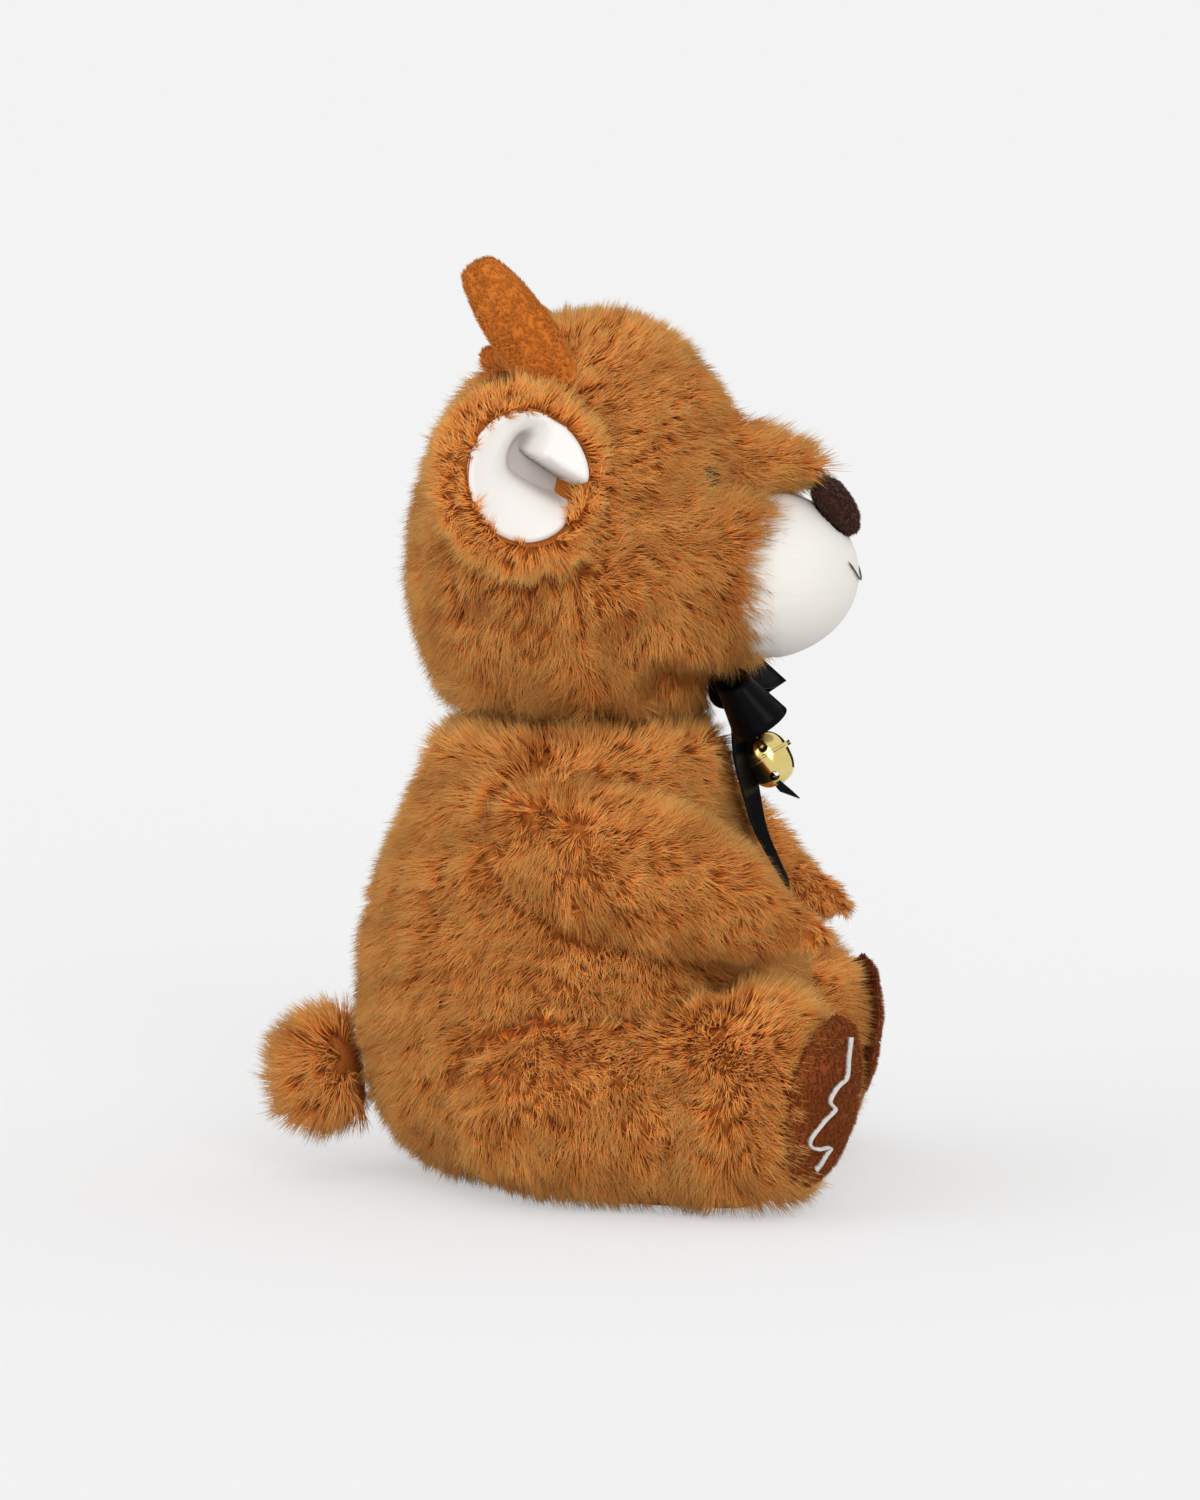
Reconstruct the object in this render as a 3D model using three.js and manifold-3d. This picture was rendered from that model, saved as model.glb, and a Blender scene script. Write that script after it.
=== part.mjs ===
// A seated plush deer: sewn plush covers over fibre stuffing, with antlers, a satin bow and a brass bell.
// Millimetres, +Z up. The toy faces -Y, its right side is at -X, and it sits on Z = 0.
import * as THREE from "three";
import { mergeVertices } from "three/addons/utils/BufferGeometryUtils.js";
import Module from "manifold-3d";

const wasm = await Module();
wasm.setup();

// Fits and cuts
const gap = 0.3;
const overrun = 60;
const seatCut = 1.2;
const mergeDistance = 0.001;

// Body, from the seat to the neck seam
const neckHeight = 137;
const bodyHalfWidth = 62;
const bodyDepthBack = 63;
const bodyDepthFront = 73;
const pile = 7;
const neckWall = 3;

// Head, from the neck seam to the crown
const headTall = 119;
const crownHeight = neckHeight + headTall;
const headHalfWidth = 59;
const headHalfDepth = 52;
const headForward = 5;
const bridgeReach = 76;
const bridgeHalfWidth = 17;
const bridgeHalfHeight = 10;
const bridgeRise = 69;
const bridgeHeight = neckHeight + bridgeRise;

// Muzzle, nose and mouth
const muzzleHalfWidth = 31;
const muzzleHalfHeight = 25.5;
const muzzleReach = 86;
const muzzleDepth = 31;
const muzzleRise = 40.5;
const muzzleHeight = neckHeight + muzzleRise;
const muzzleWall = 2;
const noseHalfWidth = 13;
const noseHalfHeight = 11;
const noseHalfDepth = 5.5;
const noseSetBack = 7.4;
const noseForward = muzzleReach - noseSetBack;
const noseRise = 20;
const noseHeight = muzzleHeight + noseRise;
const noseLean = 0.6;
const stitchRadius = 0.8;
const mouthHalfWidth = 12;
const mouthDrop = 1;
const mouthHeight = muzzleHeight - mouthDrop;
const mouthRise = 4.5;

// Eyes
const eyeRadius = 5;
const eyeAcross = 26;
const eyeRise = 70;
const eyeHeight = neckHeight + eyeRise;
const eyeForward = 45;
const eyeTurn = 0.42;
const shankRadius = 1.5;
const shankLength = 12;
const washerRadius = 6;
const washerThickness = 1.2;
const washerSink = 2.5;

// Ears
const earRadius = 29;
const earDepth = 11;
const earAcross = 66;
const earForward = -5;
const earRise = 71;
const earHeight = neckHeight + earRise;
const earTurn = 0.58;
const earLean = 0.1;
const earLiningRadius = 17.5;
const earLiningSink = 4.5;
const liningThickness = 1.6;

// Antlers
const antlerRadius = 10.2;
const antlerOverCrown = 13.5;
const antlerTipHeight = crownHeight + antlerOverCrown;
const antlerTipBack = 22;
const antlerTipAcross = 43;
const antlerFlopBack = 10;
const antlerFlopDrop = 8;
const antlerRootDrop = 30;
const antlerRootHeight = crownHeight - antlerRootDrop;
const antlerRootForward = 6;
const antlerRootAcross = 37;
const antlerWall = 2;
const tineRadius = 5.2;
const tineLength = 20;

// Arms
const armAcross = 48;
const armRadius = 27;
const armHandRadius = 19;
const shoulderDrop = 31;
const shoulderHeight = neckHeight - shoulderDrop;
const shoulderForward = 2;
const handForward = 72;
const handDrop = 61;
const handHeight = neckHeight - handDrop;
const handAcross = 37;

// Legs, feet and soles
const hipAcross = 38;
const hipForward = -6;
const legRadius = 31;
const footAcross = 58;
const footForward = 62;
const footHalfHeight = 36;
const footHalfWidth = 31;
const soleHalfHeight = 27;
const soleHalfWidth = 23;
const solePuff = 7;
const soleSplay = 0.42;
const soleDip = 0.16;
const soleReach = 79;
const soleAcrossShare = 1.08;
const soleLevelShare = 0.94;
const soleThread = 0.9;
const legSink = 1.6;

// Tail
const tailRadius = 21;
const tailLength = 42;
const tailRootHeight = 22;
const tailRise = 0.42;
const tailRootBack = 49;

// Ribbon bow
const ribbonWidth = 13;
const ribbonThickness = 0.7;
const neckBandWidth = 8;
const neckBandRadius = 36.5;
const knotHalfWidth = 5.5;
const knotHalfHeight = 7;
const knotHalfDepth = 6.8;
const knotSquareness = 0.55;
const loopLength = 31;
const loopBulge = 7.5;
const loopForward = 5.2;
const loopDroop = 0.3;
const loopTwist = 0.3;
const loopForwardTurn = 0.12;
const loopStart = 0.7;
const chinRecessForward = 26;
const chinRecessRise = 17;
const chinRecessHeight = neckHeight + chinRecessRise;
const ribbonTailDrop = 42;
const ribbonTailSpread = 0.1;
const ribbonTailClear = 13;
const ribbonTailSteps = 10;
const ribbonTipCut = 9;
const ribbonPinchShare = 0.3;
const ribbonOpenShare = 0.33;
const ribbonClearShare = 0.1;
const ribbonHangShare = 0.56;

// Bell
const bellRadius = 6.9;
const bellWall = 0.6;
const flangeRadius = 7.6;
const flangeThickness = 0.7;
const bellSlotWidth = 1.6;
const bellHoleRadius = 1.4;
const bellSlotAngle = 0.75;
const bellLean = 0.52;
const bellStandOff = 8.4;
const bellDrop = 12;
const bellHeight = neckHeight - bellDrop;
const pelletRadius = 1.8;
const bellRingRadius = 2.2;
const bellWireRadius = 0.55;
const bellThreadRadius = 1.5;
const bellThreadWire = 0.4;

// Stuffing
const pouchRadius = 26;
const pouchHalfHeight = 9;
const pouchHeight = 21;

// Facets
const bodySides = 18;
const bodyRings = 11;
const limbSides = 14;
const limbRings = 9;
const smallSides = 8;
const smallRings = 5;
const roundSides = 16;
const bandSides = 32;
const wireSides = 6;
const threadSides = 3;
const threadTension = 0.2;
const mouthSteps = 8;

const finishes = {
  fur: { color: 0xa5693a, roughness: 0.95, metalness: 0 },
  antler: { color: 0xcd7d32, roughness: 0.9, metalness: 0 },
  white: { color: 0xefece6, roughness: 0.85, metalness: 0 },
  sole: { color: 0x7c4526, roughness: 0.95, metalness: 0 },
  nose: { color: 0x3a2322, roughness: 0.95, metalness: 0 },
  satin: { color: 0x0b0b0d, roughness: 0.35, metalness: 0 },
  brass: { color: 0xc8b064, roughness: 0.2, metalness: 1 },
  thread: { color: 0xf2efe8, roughness: 0.8, metalness: 0 },
  darkThread: { color: 0x3a2322, roughness: 0.8, metalness: 0 },
  eye: { color: 0x120d0b, roughness: 0.08, metalness: 0 },
  stuffing: { color: 0xf4f4f0, roughness: 1, metalness: 0 },
  beans: { color: 0xd8d2c4, roughness: 0.9, metalness: 0 },
};

const deer = new THREE.Group();

// A place given as across (to the toy's left), forward and up
const place = (across, forward, up) => new THREE.Vector3(across, -forward, up);

// A closed geometry as a solid
function solidOf(geometry) {
  const bare = geometry.index ? geometry.toNonIndexed() : geometry.clone();
  bare.deleteAttribute("normal");
  bare.deleteAttribute("uv");
  const merged = mergeVertices(bare, mergeDistance);
  return new wasm.Manifold(
    new wasm.Mesh({
      numProp: 3,
      vertProperties: new Float32Array(merged.attributes.position.array),
      triVerts: new Uint32Array(merged.index.array),
    }),
  );
}

// A solid as a named mesh of the toy
function addPiece(name, solid, finish) {
  const { vertProperties, triVerts } = solid.getMesh();
  const geometry = new THREE.BufferGeometry();
  geometry.setAttribute("position", new THREE.BufferAttribute(vertProperties, 3));
  geometry.setIndex(new THREE.BufferAttribute(triVerts, 1));
  geometry.computeVertexNormals();
  const mesh = new THREE.Mesh(geometry, new THREE.MeshStandardMaterial(finishes[finish]));
  mesh.name = name;
  deer.add(mesh);
}

// The same geometry with its surface moved inwards, or outwards for a negative depth
function inward(geometry, depth) {
  const moved = geometry.clone();
  moved.deleteAttribute("uv");
  moved.deleteAttribute("normal");
  const merged = mergeVertices(moved, mergeDistance);
  merged.computeVertexNormals();
  const { position, normal } = merged.attributes;
  for (let i = 0; i < position.count; i++) {
    position.setXYZ(
      i,
      position.getX(i) - normal.getX(i) * depth,
      position.getY(i) - normal.getY(i) * depth,
      position.getZ(i) - normal.getZ(i) * depth,
    );
  }
  return merged;
}

// A stuffed form: rings that follow a spine, swell by the stations' half sizes and round off at both ends.
// Fullness above 2 squares the ends.
function stuffed({ stations, upright, fullness, sides, rings }) {
  const spine = new THREE.CatmullRomCurve3(stations.map((s) => s.at));
  const swell = new THREE.CatmullRomCurve3(
    stations.map((s) => new THREE.Vector3(s.across, s.deep, 0)),
  );
  const chord = stations.at(-1).at.clone().sub(stations[0].at).normalize();
  const across = upright
    ? new THREE.Vector3(1, 0, 0)
    : new THREE.Vector3(0, 0, 1).cross(chord).normalize();
  const deep = chord.clone().cross(across);
  if (upright) deep.set(0, 1, 0);
  const ball = new THREE.SphereGeometry(1, sides, rings);
  const { position } = ball.attributes;
  const unit = new THREE.Vector3();
  for (let i = 0; i < position.count; i++) {
    unit.fromBufferAttribute(position, i);
    const t = (1 - unit.y) / 2;
    const size = swell.getPoint(t);
    const left = Math.max(0, 1 - Math.pow(Math.abs(unit.y), fullness));
    const round = Math.pow(left, 1 / fullness);
    const angle = Math.atan2(unit.z, unit.x);
    const at = spine.getPoint(t);
    at.addScaledVector(across, size.x * round * Math.cos(angle));
    at.addScaledVector(deep, size.y * round * Math.sin(angle));
    position.setXYZ(i, at.x, at.y, at.z);
  }
  const made = mergeVertices(stripped(ball), mergeDistance);
  return facingOut(made);
}

// A geometry with its positions only
function stripped(geometry) {
  geometry.deleteAttribute("normal");
  geometry.deleteAttribute("uv");
  return geometry;
}

// Turns a closed geometry's faces round where they point inwards
function facingOut(geometry) {
  const { position } = geometry.attributes;
  const index = geometry.index.array;
  const [a, b, c] = [new THREE.Vector3(), new THREE.Vector3(), new THREE.Vector3()];
  let volume = 0;
  for (let i = 0; i < index.length; i += 3) {
    a.fromBufferAttribute(position, index[i]);
    b.fromBufferAttribute(position, index[i + 1]);
    c.fromBufferAttribute(position, index[i + 2]);
    volume += a.dot(b.cross(c));
  }
  if (volume < 0) {
    for (let i = 0; i < index.length; i += 3) {
      [index[i + 1], index[i + 2]] = [index[i + 2], index[i + 1]];
    }
  }
  return geometry;
}

// A box between two heights, wide enough to cut anything
function slab(low, high) {
  const box = new THREE.BoxGeometry(overrun * 8, overrun * 8, high - low);
  box.translate(0, 0, (low + high) / 2);
  return solidOf(box);
}

const aboveSeat = slab(0, crownHeight + overrun * 2);
const belowNeck = slab(-overrun, neckHeight);
const aboveNeck = slab(neckHeight + gap, crownHeight + overrun);

// The body's ring at each station: shares of the neck height, and of the depths and the half width
const bodyShares = [
  [0, 0.86, 0.87, 0.88],
  [0.2, 0.97, 1, 0.99],
  [0.4, 1, 1.02, 1.02],
  [0.6, 0.97, 0.93, 0.97],
  [0.8, 0.78, 0.74, 0.84],
  [1, 0.62, 0.66, 0.68],
  [1.2, 0.6, 0.62, 0.66],
];

function bodyForm() {
  const stations = bodyShares.map(([level, back, front, width]) => ({
    at: place(0, (bodyDepthFront * front - bodyDepthBack * back) / 2, neckHeight * level - seatCut),
    across: bodyHalfWidth * width,
    deep: (bodyDepthFront * front + bodyDepthBack * back) / 2,
  }));
  return stuffed({ stations, upright: true, fullness: 5, sides: bodySides, rings: bodyRings });
}

// The head's rings: shares of the height over the neck seam, of the half depth and the half width
const headShares = [
  [-0.16, 1.02, 0.9],
  [0.12, 1.04, 0.97],
  [0.4, 1.03, 1.03],
  [0.7, 0.99, 1],
  [1, 0.92, 0.9],
];

function headForm() {
  const height = crownHeight - neckHeight;
  const stations = headShares.map(([level, depth, width]) => ({
    at: place(0, headForward + headForward * level * level, neckHeight + height * level),
    across: headHalfWidth * width,
    deep: headHalfDepth * depth,
  }));
  return stuffed({ stations, upright: true, fullness: 2.1, sides: bodySides, rings: bodyRings });
}

// The fur bridge from the brow to the nose
function bridgeForm() {
  const start = headForward + headHalfDepth * 0.3;
  const stations = [0, 0.35, 0.7, 1].map((along) => ({
    at: place(
      0,
      start + (bridgeReach - start) * along,
      bridgeHeight + bridgeHalfHeight * (1.25 - along * 1.17),
    ),
    across: bridgeHalfWidth * (1.25 - 0.35 * along),
    deep: bridgeHalfHeight * (1.8 - 1.2 * along),
  }));
  return stuffed({ stations, fullness: 3, sides: limbSides, rings: smallRings });
}

// An ellipsoid of three half sizes at a place
function ellipsoid(at, halfWidth, halfDepth, halfHeight, sides, rings) {
  const ball = new THREE.SphereGeometry(1, sides, rings);
  ball.scale(halfWidth, halfDepth, halfHeight);
  ball.translate(at.x, at.y, at.z);
  return mergeVertices(stripped(ball), mergeDistance);
}

function muzzleForm() {
  const at = place(0, muzzleReach - muzzleDepth, muzzleHeight);
  return ellipsoid(at, muzzleHalfWidth, muzzleDepth, muzzleHalfHeight, bodySides, bodyRings);
}

// A pair's right-hand form is made once and mirrored for the left
const sidesOfToy = [
  ["right", -1],
  ["left", 1],
];

function armForm(side) {
  const middleForward = (shoulderForward + handForward) * 0.54;
  const middleHeight = (shoulderHeight + handHeight) / 2;
  const wrist = handForward - armHandRadius * 0.5;
  const stations = [
    {
      at: place(
        side * armAcross * 0.94,
        shoulderForward - armRadius * 0.85,
        shoulderHeight + armRadius * 0.25,
      ),
      across: armRadius * 0.95,
      deep: armRadius,
    },
    {
      at: place(
        side * armAcross * 1.06,
        shoulderForward + armRadius * 0.35,
        shoulderHeight - armRadius * 0.2,
      ),
      across: armRadius,
      deep: armRadius,
    },
    {
      at: place(side * armAcross * 1.02, middleForward, middleHeight),
      across: armRadius * 0.86,
      deep: armRadius * 0.9,
    },
    {
      at: place(side * (handAcross + armHandRadius * 0.25), wrist, handHeight),
      across: armHandRadius * 1.02,
      deep: armHandRadius * 1.05,
    },
    {
      at: place(side * handAcross, handForward + armHandRadius * 0.75, handHeight - armHandRadius * 0.35),
      across: armHandRadius,
      deep: armHandRadius,
    },
  ];
  return stuffed({ stations, fullness: 2.6, sides: limbSides, rings: limbRings });
}

function legForm(side) {
  const kneeAcross = (hipAcross + footAcross) * 0.53;
  const kneeForward = (hipForward + footForward) * 0.55;
  const stations = [
    {
      at: place(side * hipAcross, hipForward - legRadius * 0.85, legRadius * 1.05 - legSink),
      across: legRadius,
      deep: legRadius * 1.06,
    },
    {
      at: place(side * hipAcross * 1.22, hipForward + legRadius * 0.3, legRadius * 1.12 - legSink),
      across: legRadius * 1.1,
      deep: legRadius * 1.14,
    },
    {
      at: place(side * kneeAcross, kneeForward, legRadius - legSink),
      across: legRadius * 0.93,
      deep: legRadius,
    },
    {
      at: place(side * footAcross * 0.99, footForward, footHalfHeight - legSink),
      across: footHalfWidth,
      deep: footHalfHeight * 1.02,
    },
    {
      at: place(side * footAcross * soleAcrossShare, soleReach + solePuff, footHalfHeight - legSink),
      across: footHalfWidth * 0.98,
      deep: footHalfHeight,
    },
  ];
  return stuffed({ stations, fullness: 3.2, sides: limbSides, rings: limbRings });
}

// The frame of a sole: its centre, and a turn that takes +Z to its outward normal
function soleFrame(side) {
  const centre = place(side * footAcross * soleAcrossShare, soleReach, footHalfHeight * soleLevelShare);
  const frame = new THREE.Matrix4().makeTranslation(centre);
  frame.multiply(new THREE.Matrix4().makeRotationZ(side * soleSplay));
  frame.multiply(new THREE.Matrix4().makeRotationX(Math.PI / 2 + soleDip));
  return frame;
}

// The room in front of a sole's face
function beyondSole(side, start = 0) {
  const box = new THREE.BoxGeometry(overrun * 2, overrun * 2, overrun);
  box.translate(0, 0, start + overrun / 2);
  box.applyMatrix4(soleFrame(side));
  return solidOf(box);
}

// The puffed oval pad of a sole
function solePad(side) {
  const ball = new THREE.SphereGeometry(1, roundSides, smallRings);
  ball.scale(soleHalfWidth, soleHalfHeight, solePuff);
  ball.applyMatrix4(soleFrame(side));
  return mergeVertices(stripped(ball), mergeDistance);
}

// The embroidered zigzag of a sole: shares of its half width and half height
const zigzagShares = [
  [0.19, 0.68],
  [0.05, 0.3],
  [-0.28, 0.08],
  [-0.14, -0.04],
  [-0.54, -0.31],
  [-0.42, -0.45],
  [-0.05, -0.47],
  [-0.23, -0.7],
];

// A thread along a curve of points, as a closed tube with small square ends
function threadAlong(points, radius, steps) {
  const curve = new THREE.CatmullRomCurve3(points, false, "catmullrom", threadTension);
  const section = new THREE.Shape();
  section.absarc(0, 0, radius, 0, Math.PI * 2);
  return new THREE.ExtrudeGeometry(section, {
    steps,
    curveSegments: threadSides,
    extrudePath: curve,
    bevelEnabled: false,
  });
}

function soleStitch(side) {
  const points = zigzagShares.map(([x, y]) => {
    const rise = Math.sqrt(1 - x * x - y * y) * solePuff + soleThread + gap;
    const point = new THREE.Vector3(-side * x * soleHalfWidth, y * soleHalfHeight, rise);
    return point.applyMatrix4(soleFrame(side));
  });
  return solidOf(threadAlong(points, soleThread, zigzagShares.length * 4));
}

// The room over the legs, where the arms rest and lift
function overLegs(side) {
  const legTop = solidOf(legForm(side)).boundingBox().max[2];
  return slab(legTop + gap, crownHeight);
}

// A tail that narrows to a rounded root
function tailForm() {
  const out = Math.cos(tailRise) * tailLength;
  const up = Math.sin(tailRise) * tailLength;
  const stations = [
    [0, 0.42],
    [0.3, 0.86],
    [0.65, 1.04],
    [1, 0.9],
  ].map(([along, share]) => ({
    at: place(0, -tailRootBack - out * along, tailRootHeight + up * along),
    across: tailRadius * share,
    deep: tailRadius * share,
  }));
  return stuffed({ stations, fullness: 2.2, sides: limbSides, rings: limbRings });
}

// The frame of an ear: its centre, and a turn that takes +Z to the way its bowl opens
function earFrame(side) {
  const frame = new THREE.Matrix4().makeTranslation(side * earAcross, -earForward, earHeight);
  frame.multiply(new THREE.Matrix4().makeRotationZ(-side * earTurn));
  frame.multiply(new THREE.Matrix4().makeRotationY(side * (Math.PI / 2 - earLean)));
  return frame;
}

// An ear's thick bowl, and the thin bowl that lines it
function earBowl(side, radius, depth) {
  const ball = new THREE.SphereGeometry(1, roundSides, bodyRings);
  ball.rotateX(Math.PI / 2);
  ball.scale(radius, radius, depth);
  return ball.applyMatrix4(earFrame(side));
}

function earHollow(side, radius, sink) {
  const ball = new THREE.SphereGeometry(1, roundSides, smallRings);
  ball.rotateX(Math.PI / 2);
  ball.scale(radius, radius, sink);
  ball.translate(0, 0, earDepth * 0.5);
  return ball.applyMatrix4(earFrame(side));
}

// An antler's beam and its short inner tine. The left one flops further back.
function antlerForms(side) {
  const root = place(side * antlerRootAcross, antlerRootForward, antlerRootHeight);
  const flop = side > 0 ? 1 : 0;
  const tip = place(
    side * antlerTipAcross,
    -antlerTipBack - flop * antlerFlopBack,
    antlerTipHeight - flop * antlerFlopDrop,
  );
  const bend = root.clone().lerp(tip, 0.55);
  bend.z -= antlerRadius * 0.3;
  bend.y -= antlerRadius * 0.25;
  const beam = stuffed({
    stations: [
      { at: root, across: antlerRadius * 0.95, deep: antlerRadius },
      { at: bend, across: antlerRadius * 0.9, deep: antlerRadius * 1.05 },
      { at: tip, across: antlerRadius * 0.72, deep: antlerRadius * 0.82 },
    ],
    fullness: 4.5,
    sides: limbSides,
    rings: limbRings,
  });
  const fork = root.clone().lerp(tip, 0.35);
  const end = fork.clone().add(place(-side * tineLength * 0.55, -tineLength * 0.92, -tineLength * 0.02));
  const tine = stuffed({
    stations: [0, 0.5, 1].map((along) => ({
      at: fork.clone().lerp(end, along),
      across: tineRadius,
      deep: tineRadius,
    })),
    fullness: 5,
    sides: smallSides,
    rings: smallRings,
  });
  return [beam, tine];
}

// A ring round the neck's axis that reaches out past the fur, between two heights
function ringOutside(inner, low, high) {
  const outer = inner + overrun;
  const profile = [
    new THREE.Vector2(inner, low),
    new THREE.Vector2(outer, low),
    new THREE.Vector2(outer, high),
    new THREE.Vector2(inner, high),
    new THREE.Vector2(inner, low),
  ];
  const ring = new THREE.LatheGeometry(profile, bandSides);
  ring.rotateX(Math.PI / 2);
  ring.translate(0, -headForward, 0);
  return solidOf(facingOut(mergeVertices(stripped(ring), mergeDistance)));
}

// The groove that the neck band presses into the fur, half of it in the body and half in the head
function neckGroove(grow) {
  const inner = neckBandRadius - ribbonThickness - gap - grow;
  const middle = neckHeight + gap / 2;
  const half = neckBandWidth / 2 + gap + grow;
  return ringOutside(inner, middle - half, middle + half);
}

// The recess under the chin that clears the bow as the head turns
function chinRecess(grow) {
  const front = new THREE.BoxGeometry(overrun * 4, overrun * 4, overrun);
  front.translate(0, -(chinRecessForward - grow) - overrun * 2, neckHeight);
  return ringOutside(neckBandRadius - grow, neckHeight - overrun / 2, chinRecessHeight + grow)
    .intersect(solidOf(front));
}

function neckBand() {
  const band = new THREE.Shape();
  band.absarc(0, 0, neckBandRadius, 0, Math.PI * 2);
  const bore = new THREE.Path();
  bore.absarc(0, 0, neckBandRadius - ribbonThickness, 0, Math.PI * 2);
  band.holes.push(bore);
  const ring = new THREE.ExtrudeGeometry(band, {
    depth: neckBandWidth,
    curveSegments: bandSides / 2,
    bevelEnabled: false,
  });
  ring.translate(0, -headForward, neckHeight + gap / 2 - neckBandWidth / 2);
  return solidOf(ring);
}

// A left-hand geometry as it is, or mirrored for the right-hand side
function onSide(geometry, side) {
  const made = mergeVertices(stripped(geometry.index ? geometry : geometry.clone()), mergeDistance);
  if (side < 0) made.scale(-1, 1, 1);
  return facingOut(made);
}

// A bow loop: an oval band that stands out sideways from the knot and droops
function bowLoop(side) {
  const outline = new THREE.Shape();
  outline.absellipse(loopLength / 2, 0, loopLength / 2, loopBulge, 0, Math.PI * 2);
  const inside = new THREE.Path();
  const [long, wide] = [loopLength / 2 - ribbonThickness, loopBulge - ribbonThickness];
  inside.absellipse(loopLength / 2, 0, long, wide, 0, Math.PI * 2);
  outline.holes.push(inside);
  const band = new THREE.ExtrudeGeometry(outline, {
    depth: ribbonWidth,
    curveSegments: smallSides,
    bevelEnabled: false,
  });
  band.translate(0, 0, -ribbonWidth / 2);
  band.rotateX(loopTwist);
  band.rotateY(loopDroop);
  band.rotateZ(-loopForwardTurn);
  const knot = knotPlace();
  band.translate(knotHalfWidth + loopStart, knot.y - loopForward, knot.z);
  return solidOf(onSide(band, side));
}

// How far the chest stands forward at a height, on the line between its stations
function chestAt(height) {
  const level = height / neckHeight;
  const above = bodyShares.findIndex(([share]) => share > level);
  const [low, high] = [bodyShares[above - 1], bodyShares[above]];
  const along = (level - low[0]) / (high[0] - low[0]);
  return bodyDepthFront * (low[2] + (high[2] - low[2]) * along);
}

// A ribbon tail: a strip that hangs from the knot, follows the chest and is cut at a slant
function ribbonTail(side) {
  const knot = knotPlace();
  const top = knot.z - knotHalfHeight - gap;
  const strip = new THREE.BoxGeometry(ribbonWidth, ribbonThickness, ribbonTailDrop, 1, 1, ribbonTailSteps);
  const { position } = strip.attributes;
  for (let i = 0; i < position.count; i++) {
    const x = position.getX(i);
    const fall = 0.5 - position.getZ(i) / ribbonTailDrop;
    const drop = fall * ribbonTailDrop + (x / ribbonWidth) * ribbonTipCut * fall;
    const width = ribbonPinchShare + (1 - ribbonPinchShare) * Math.min(1, fall / ribbonOpenShare);
    const clear = ribbonTailClear * (1 - Math.exp(-fall / ribbonClearShare));
    const across = x * width + knotHalfWidth * 0.75 + clear + fall * ribbonTailDrop * ribbonTailSpread;
    const hang = knotHalfDepth * ribbonHangShare * (1 - fall) * (1 - fall);
    const forward = chestAt(top - drop) + ribbonThickness * 2 + hang;
    position.setXYZ(i, across, position.getY(i) - forward, top - drop);
  }
  return solidOf(onSide(strip, side));
}

// Where the bell hangs: the way up its axis, and the places of its ring, thread loop and the knot
function bellUp(distance) {
  const lean = new THREE.Vector3(0, Math.sin(bellLean), Math.cos(bellLean));
  return place(0, chestAt(bellHeight) + bellStandOff, bellHeight).addScaledVector(lean, distance);
}

const ringRise = bellRadius + gap + bellWireRadius + bellRingRadius;
const threadRise = ringRise + bellRingRadius - bellWireRadius - bellThreadWire - gap + bellThreadRadius;

function knotPlace() {
  const top = bellUp(threadRise + bellThreadRadius + bellThreadWire + gap);
  const forward = headForward + neckBandRadius + gap + knotHalfDepth;
  return place(0, forward, top.z + knotHalfHeight);
}

function knotForm() {
  const at = knotPlace();
  const box = new THREE.SphereGeometry(1, smallSides, smallRings);
  const { position } = box.attributes;
  const unit = new THREE.Vector3();
  for (let i = 0; i < position.count; i++) {
    unit.fromBufferAttribute(position, i);
    const [x, y, z] = unit.toArray().map((v) => Math.sign(v) * Math.pow(Math.abs(v), knotSquareness));
    position.setXYZ(i, at.x + x * knotHalfWidth, at.y + y * knotHalfDepth, at.z + z * knotHalfHeight);
  }
  return mergeVertices(stripped(box), mergeDistance);
}

// A closed ring of wire that leans with the bell, turned to face sideways or forward
function ringAt(centre, radius, wire, turn) {
  const ring = new THREE.TorusGeometry(radius, wire, wireSides, smallSides * 2);
  if (turn) ring.rotateY(Math.PI / 2);
  else ring.rotateX(Math.PI / 2);
  ring.rotateX(-bellLean);
  ring.translate(centre.x, centre.y, centre.z);
  return solidOf(ring);
}

// Takes a geometry made round +Z at the origin to the bell's place and lean
function toBell(geometry) {
  const at = bellUp(0);
  geometry.rotateX(-bellLean);
  geometry.translate(at.x, at.y, at.z);
  return geometry;
}

// Half of the bell: a thin dome with half of the flange, below the middle when down is -1
function bellHalf(down) {
  const arcs = smallRings;
  const half = flangeThickness / 2;
  const profile = [
    new THREE.Vector2(flangeRadius, gap / 2),
    new THREE.Vector2(flangeRadius, half + gap / 2),
  ];
  const rise = Math.asin((half + gap / 2) / bellRadius);
  for (let i = 0; i <= arcs; i++) {
    const a = rise + ((Math.PI / 2 - rise) * i) / arcs;
    profile.push(new THREE.Vector2(i === arcs ? 0 : bellRadius * Math.cos(a), bellRadius * Math.sin(a)));
  }
  const inner = bellRadius - bellWall;
  const low = Math.asin(gap / 2 / inner);
  for (let i = arcs; i >= 0; i--) {
    const a = low + ((Math.PI / 2 - low) * i) / arcs;
    profile.push(new THREE.Vector2(i === arcs ? 0 : inner * Math.cos(a), inner * Math.sin(a)));
  }
  profile.push(profile[0].clone());
  const dome = new THREE.LatheGeometry(profile, roundSides);
  dome.rotateX(Math.PI / 2);
  if (down < 0) dome.rotateX(Math.PI);
  return solidOf(facingOut(mergeVertices(stripped(toBell(dome)), mergeDistance)));
}

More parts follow.
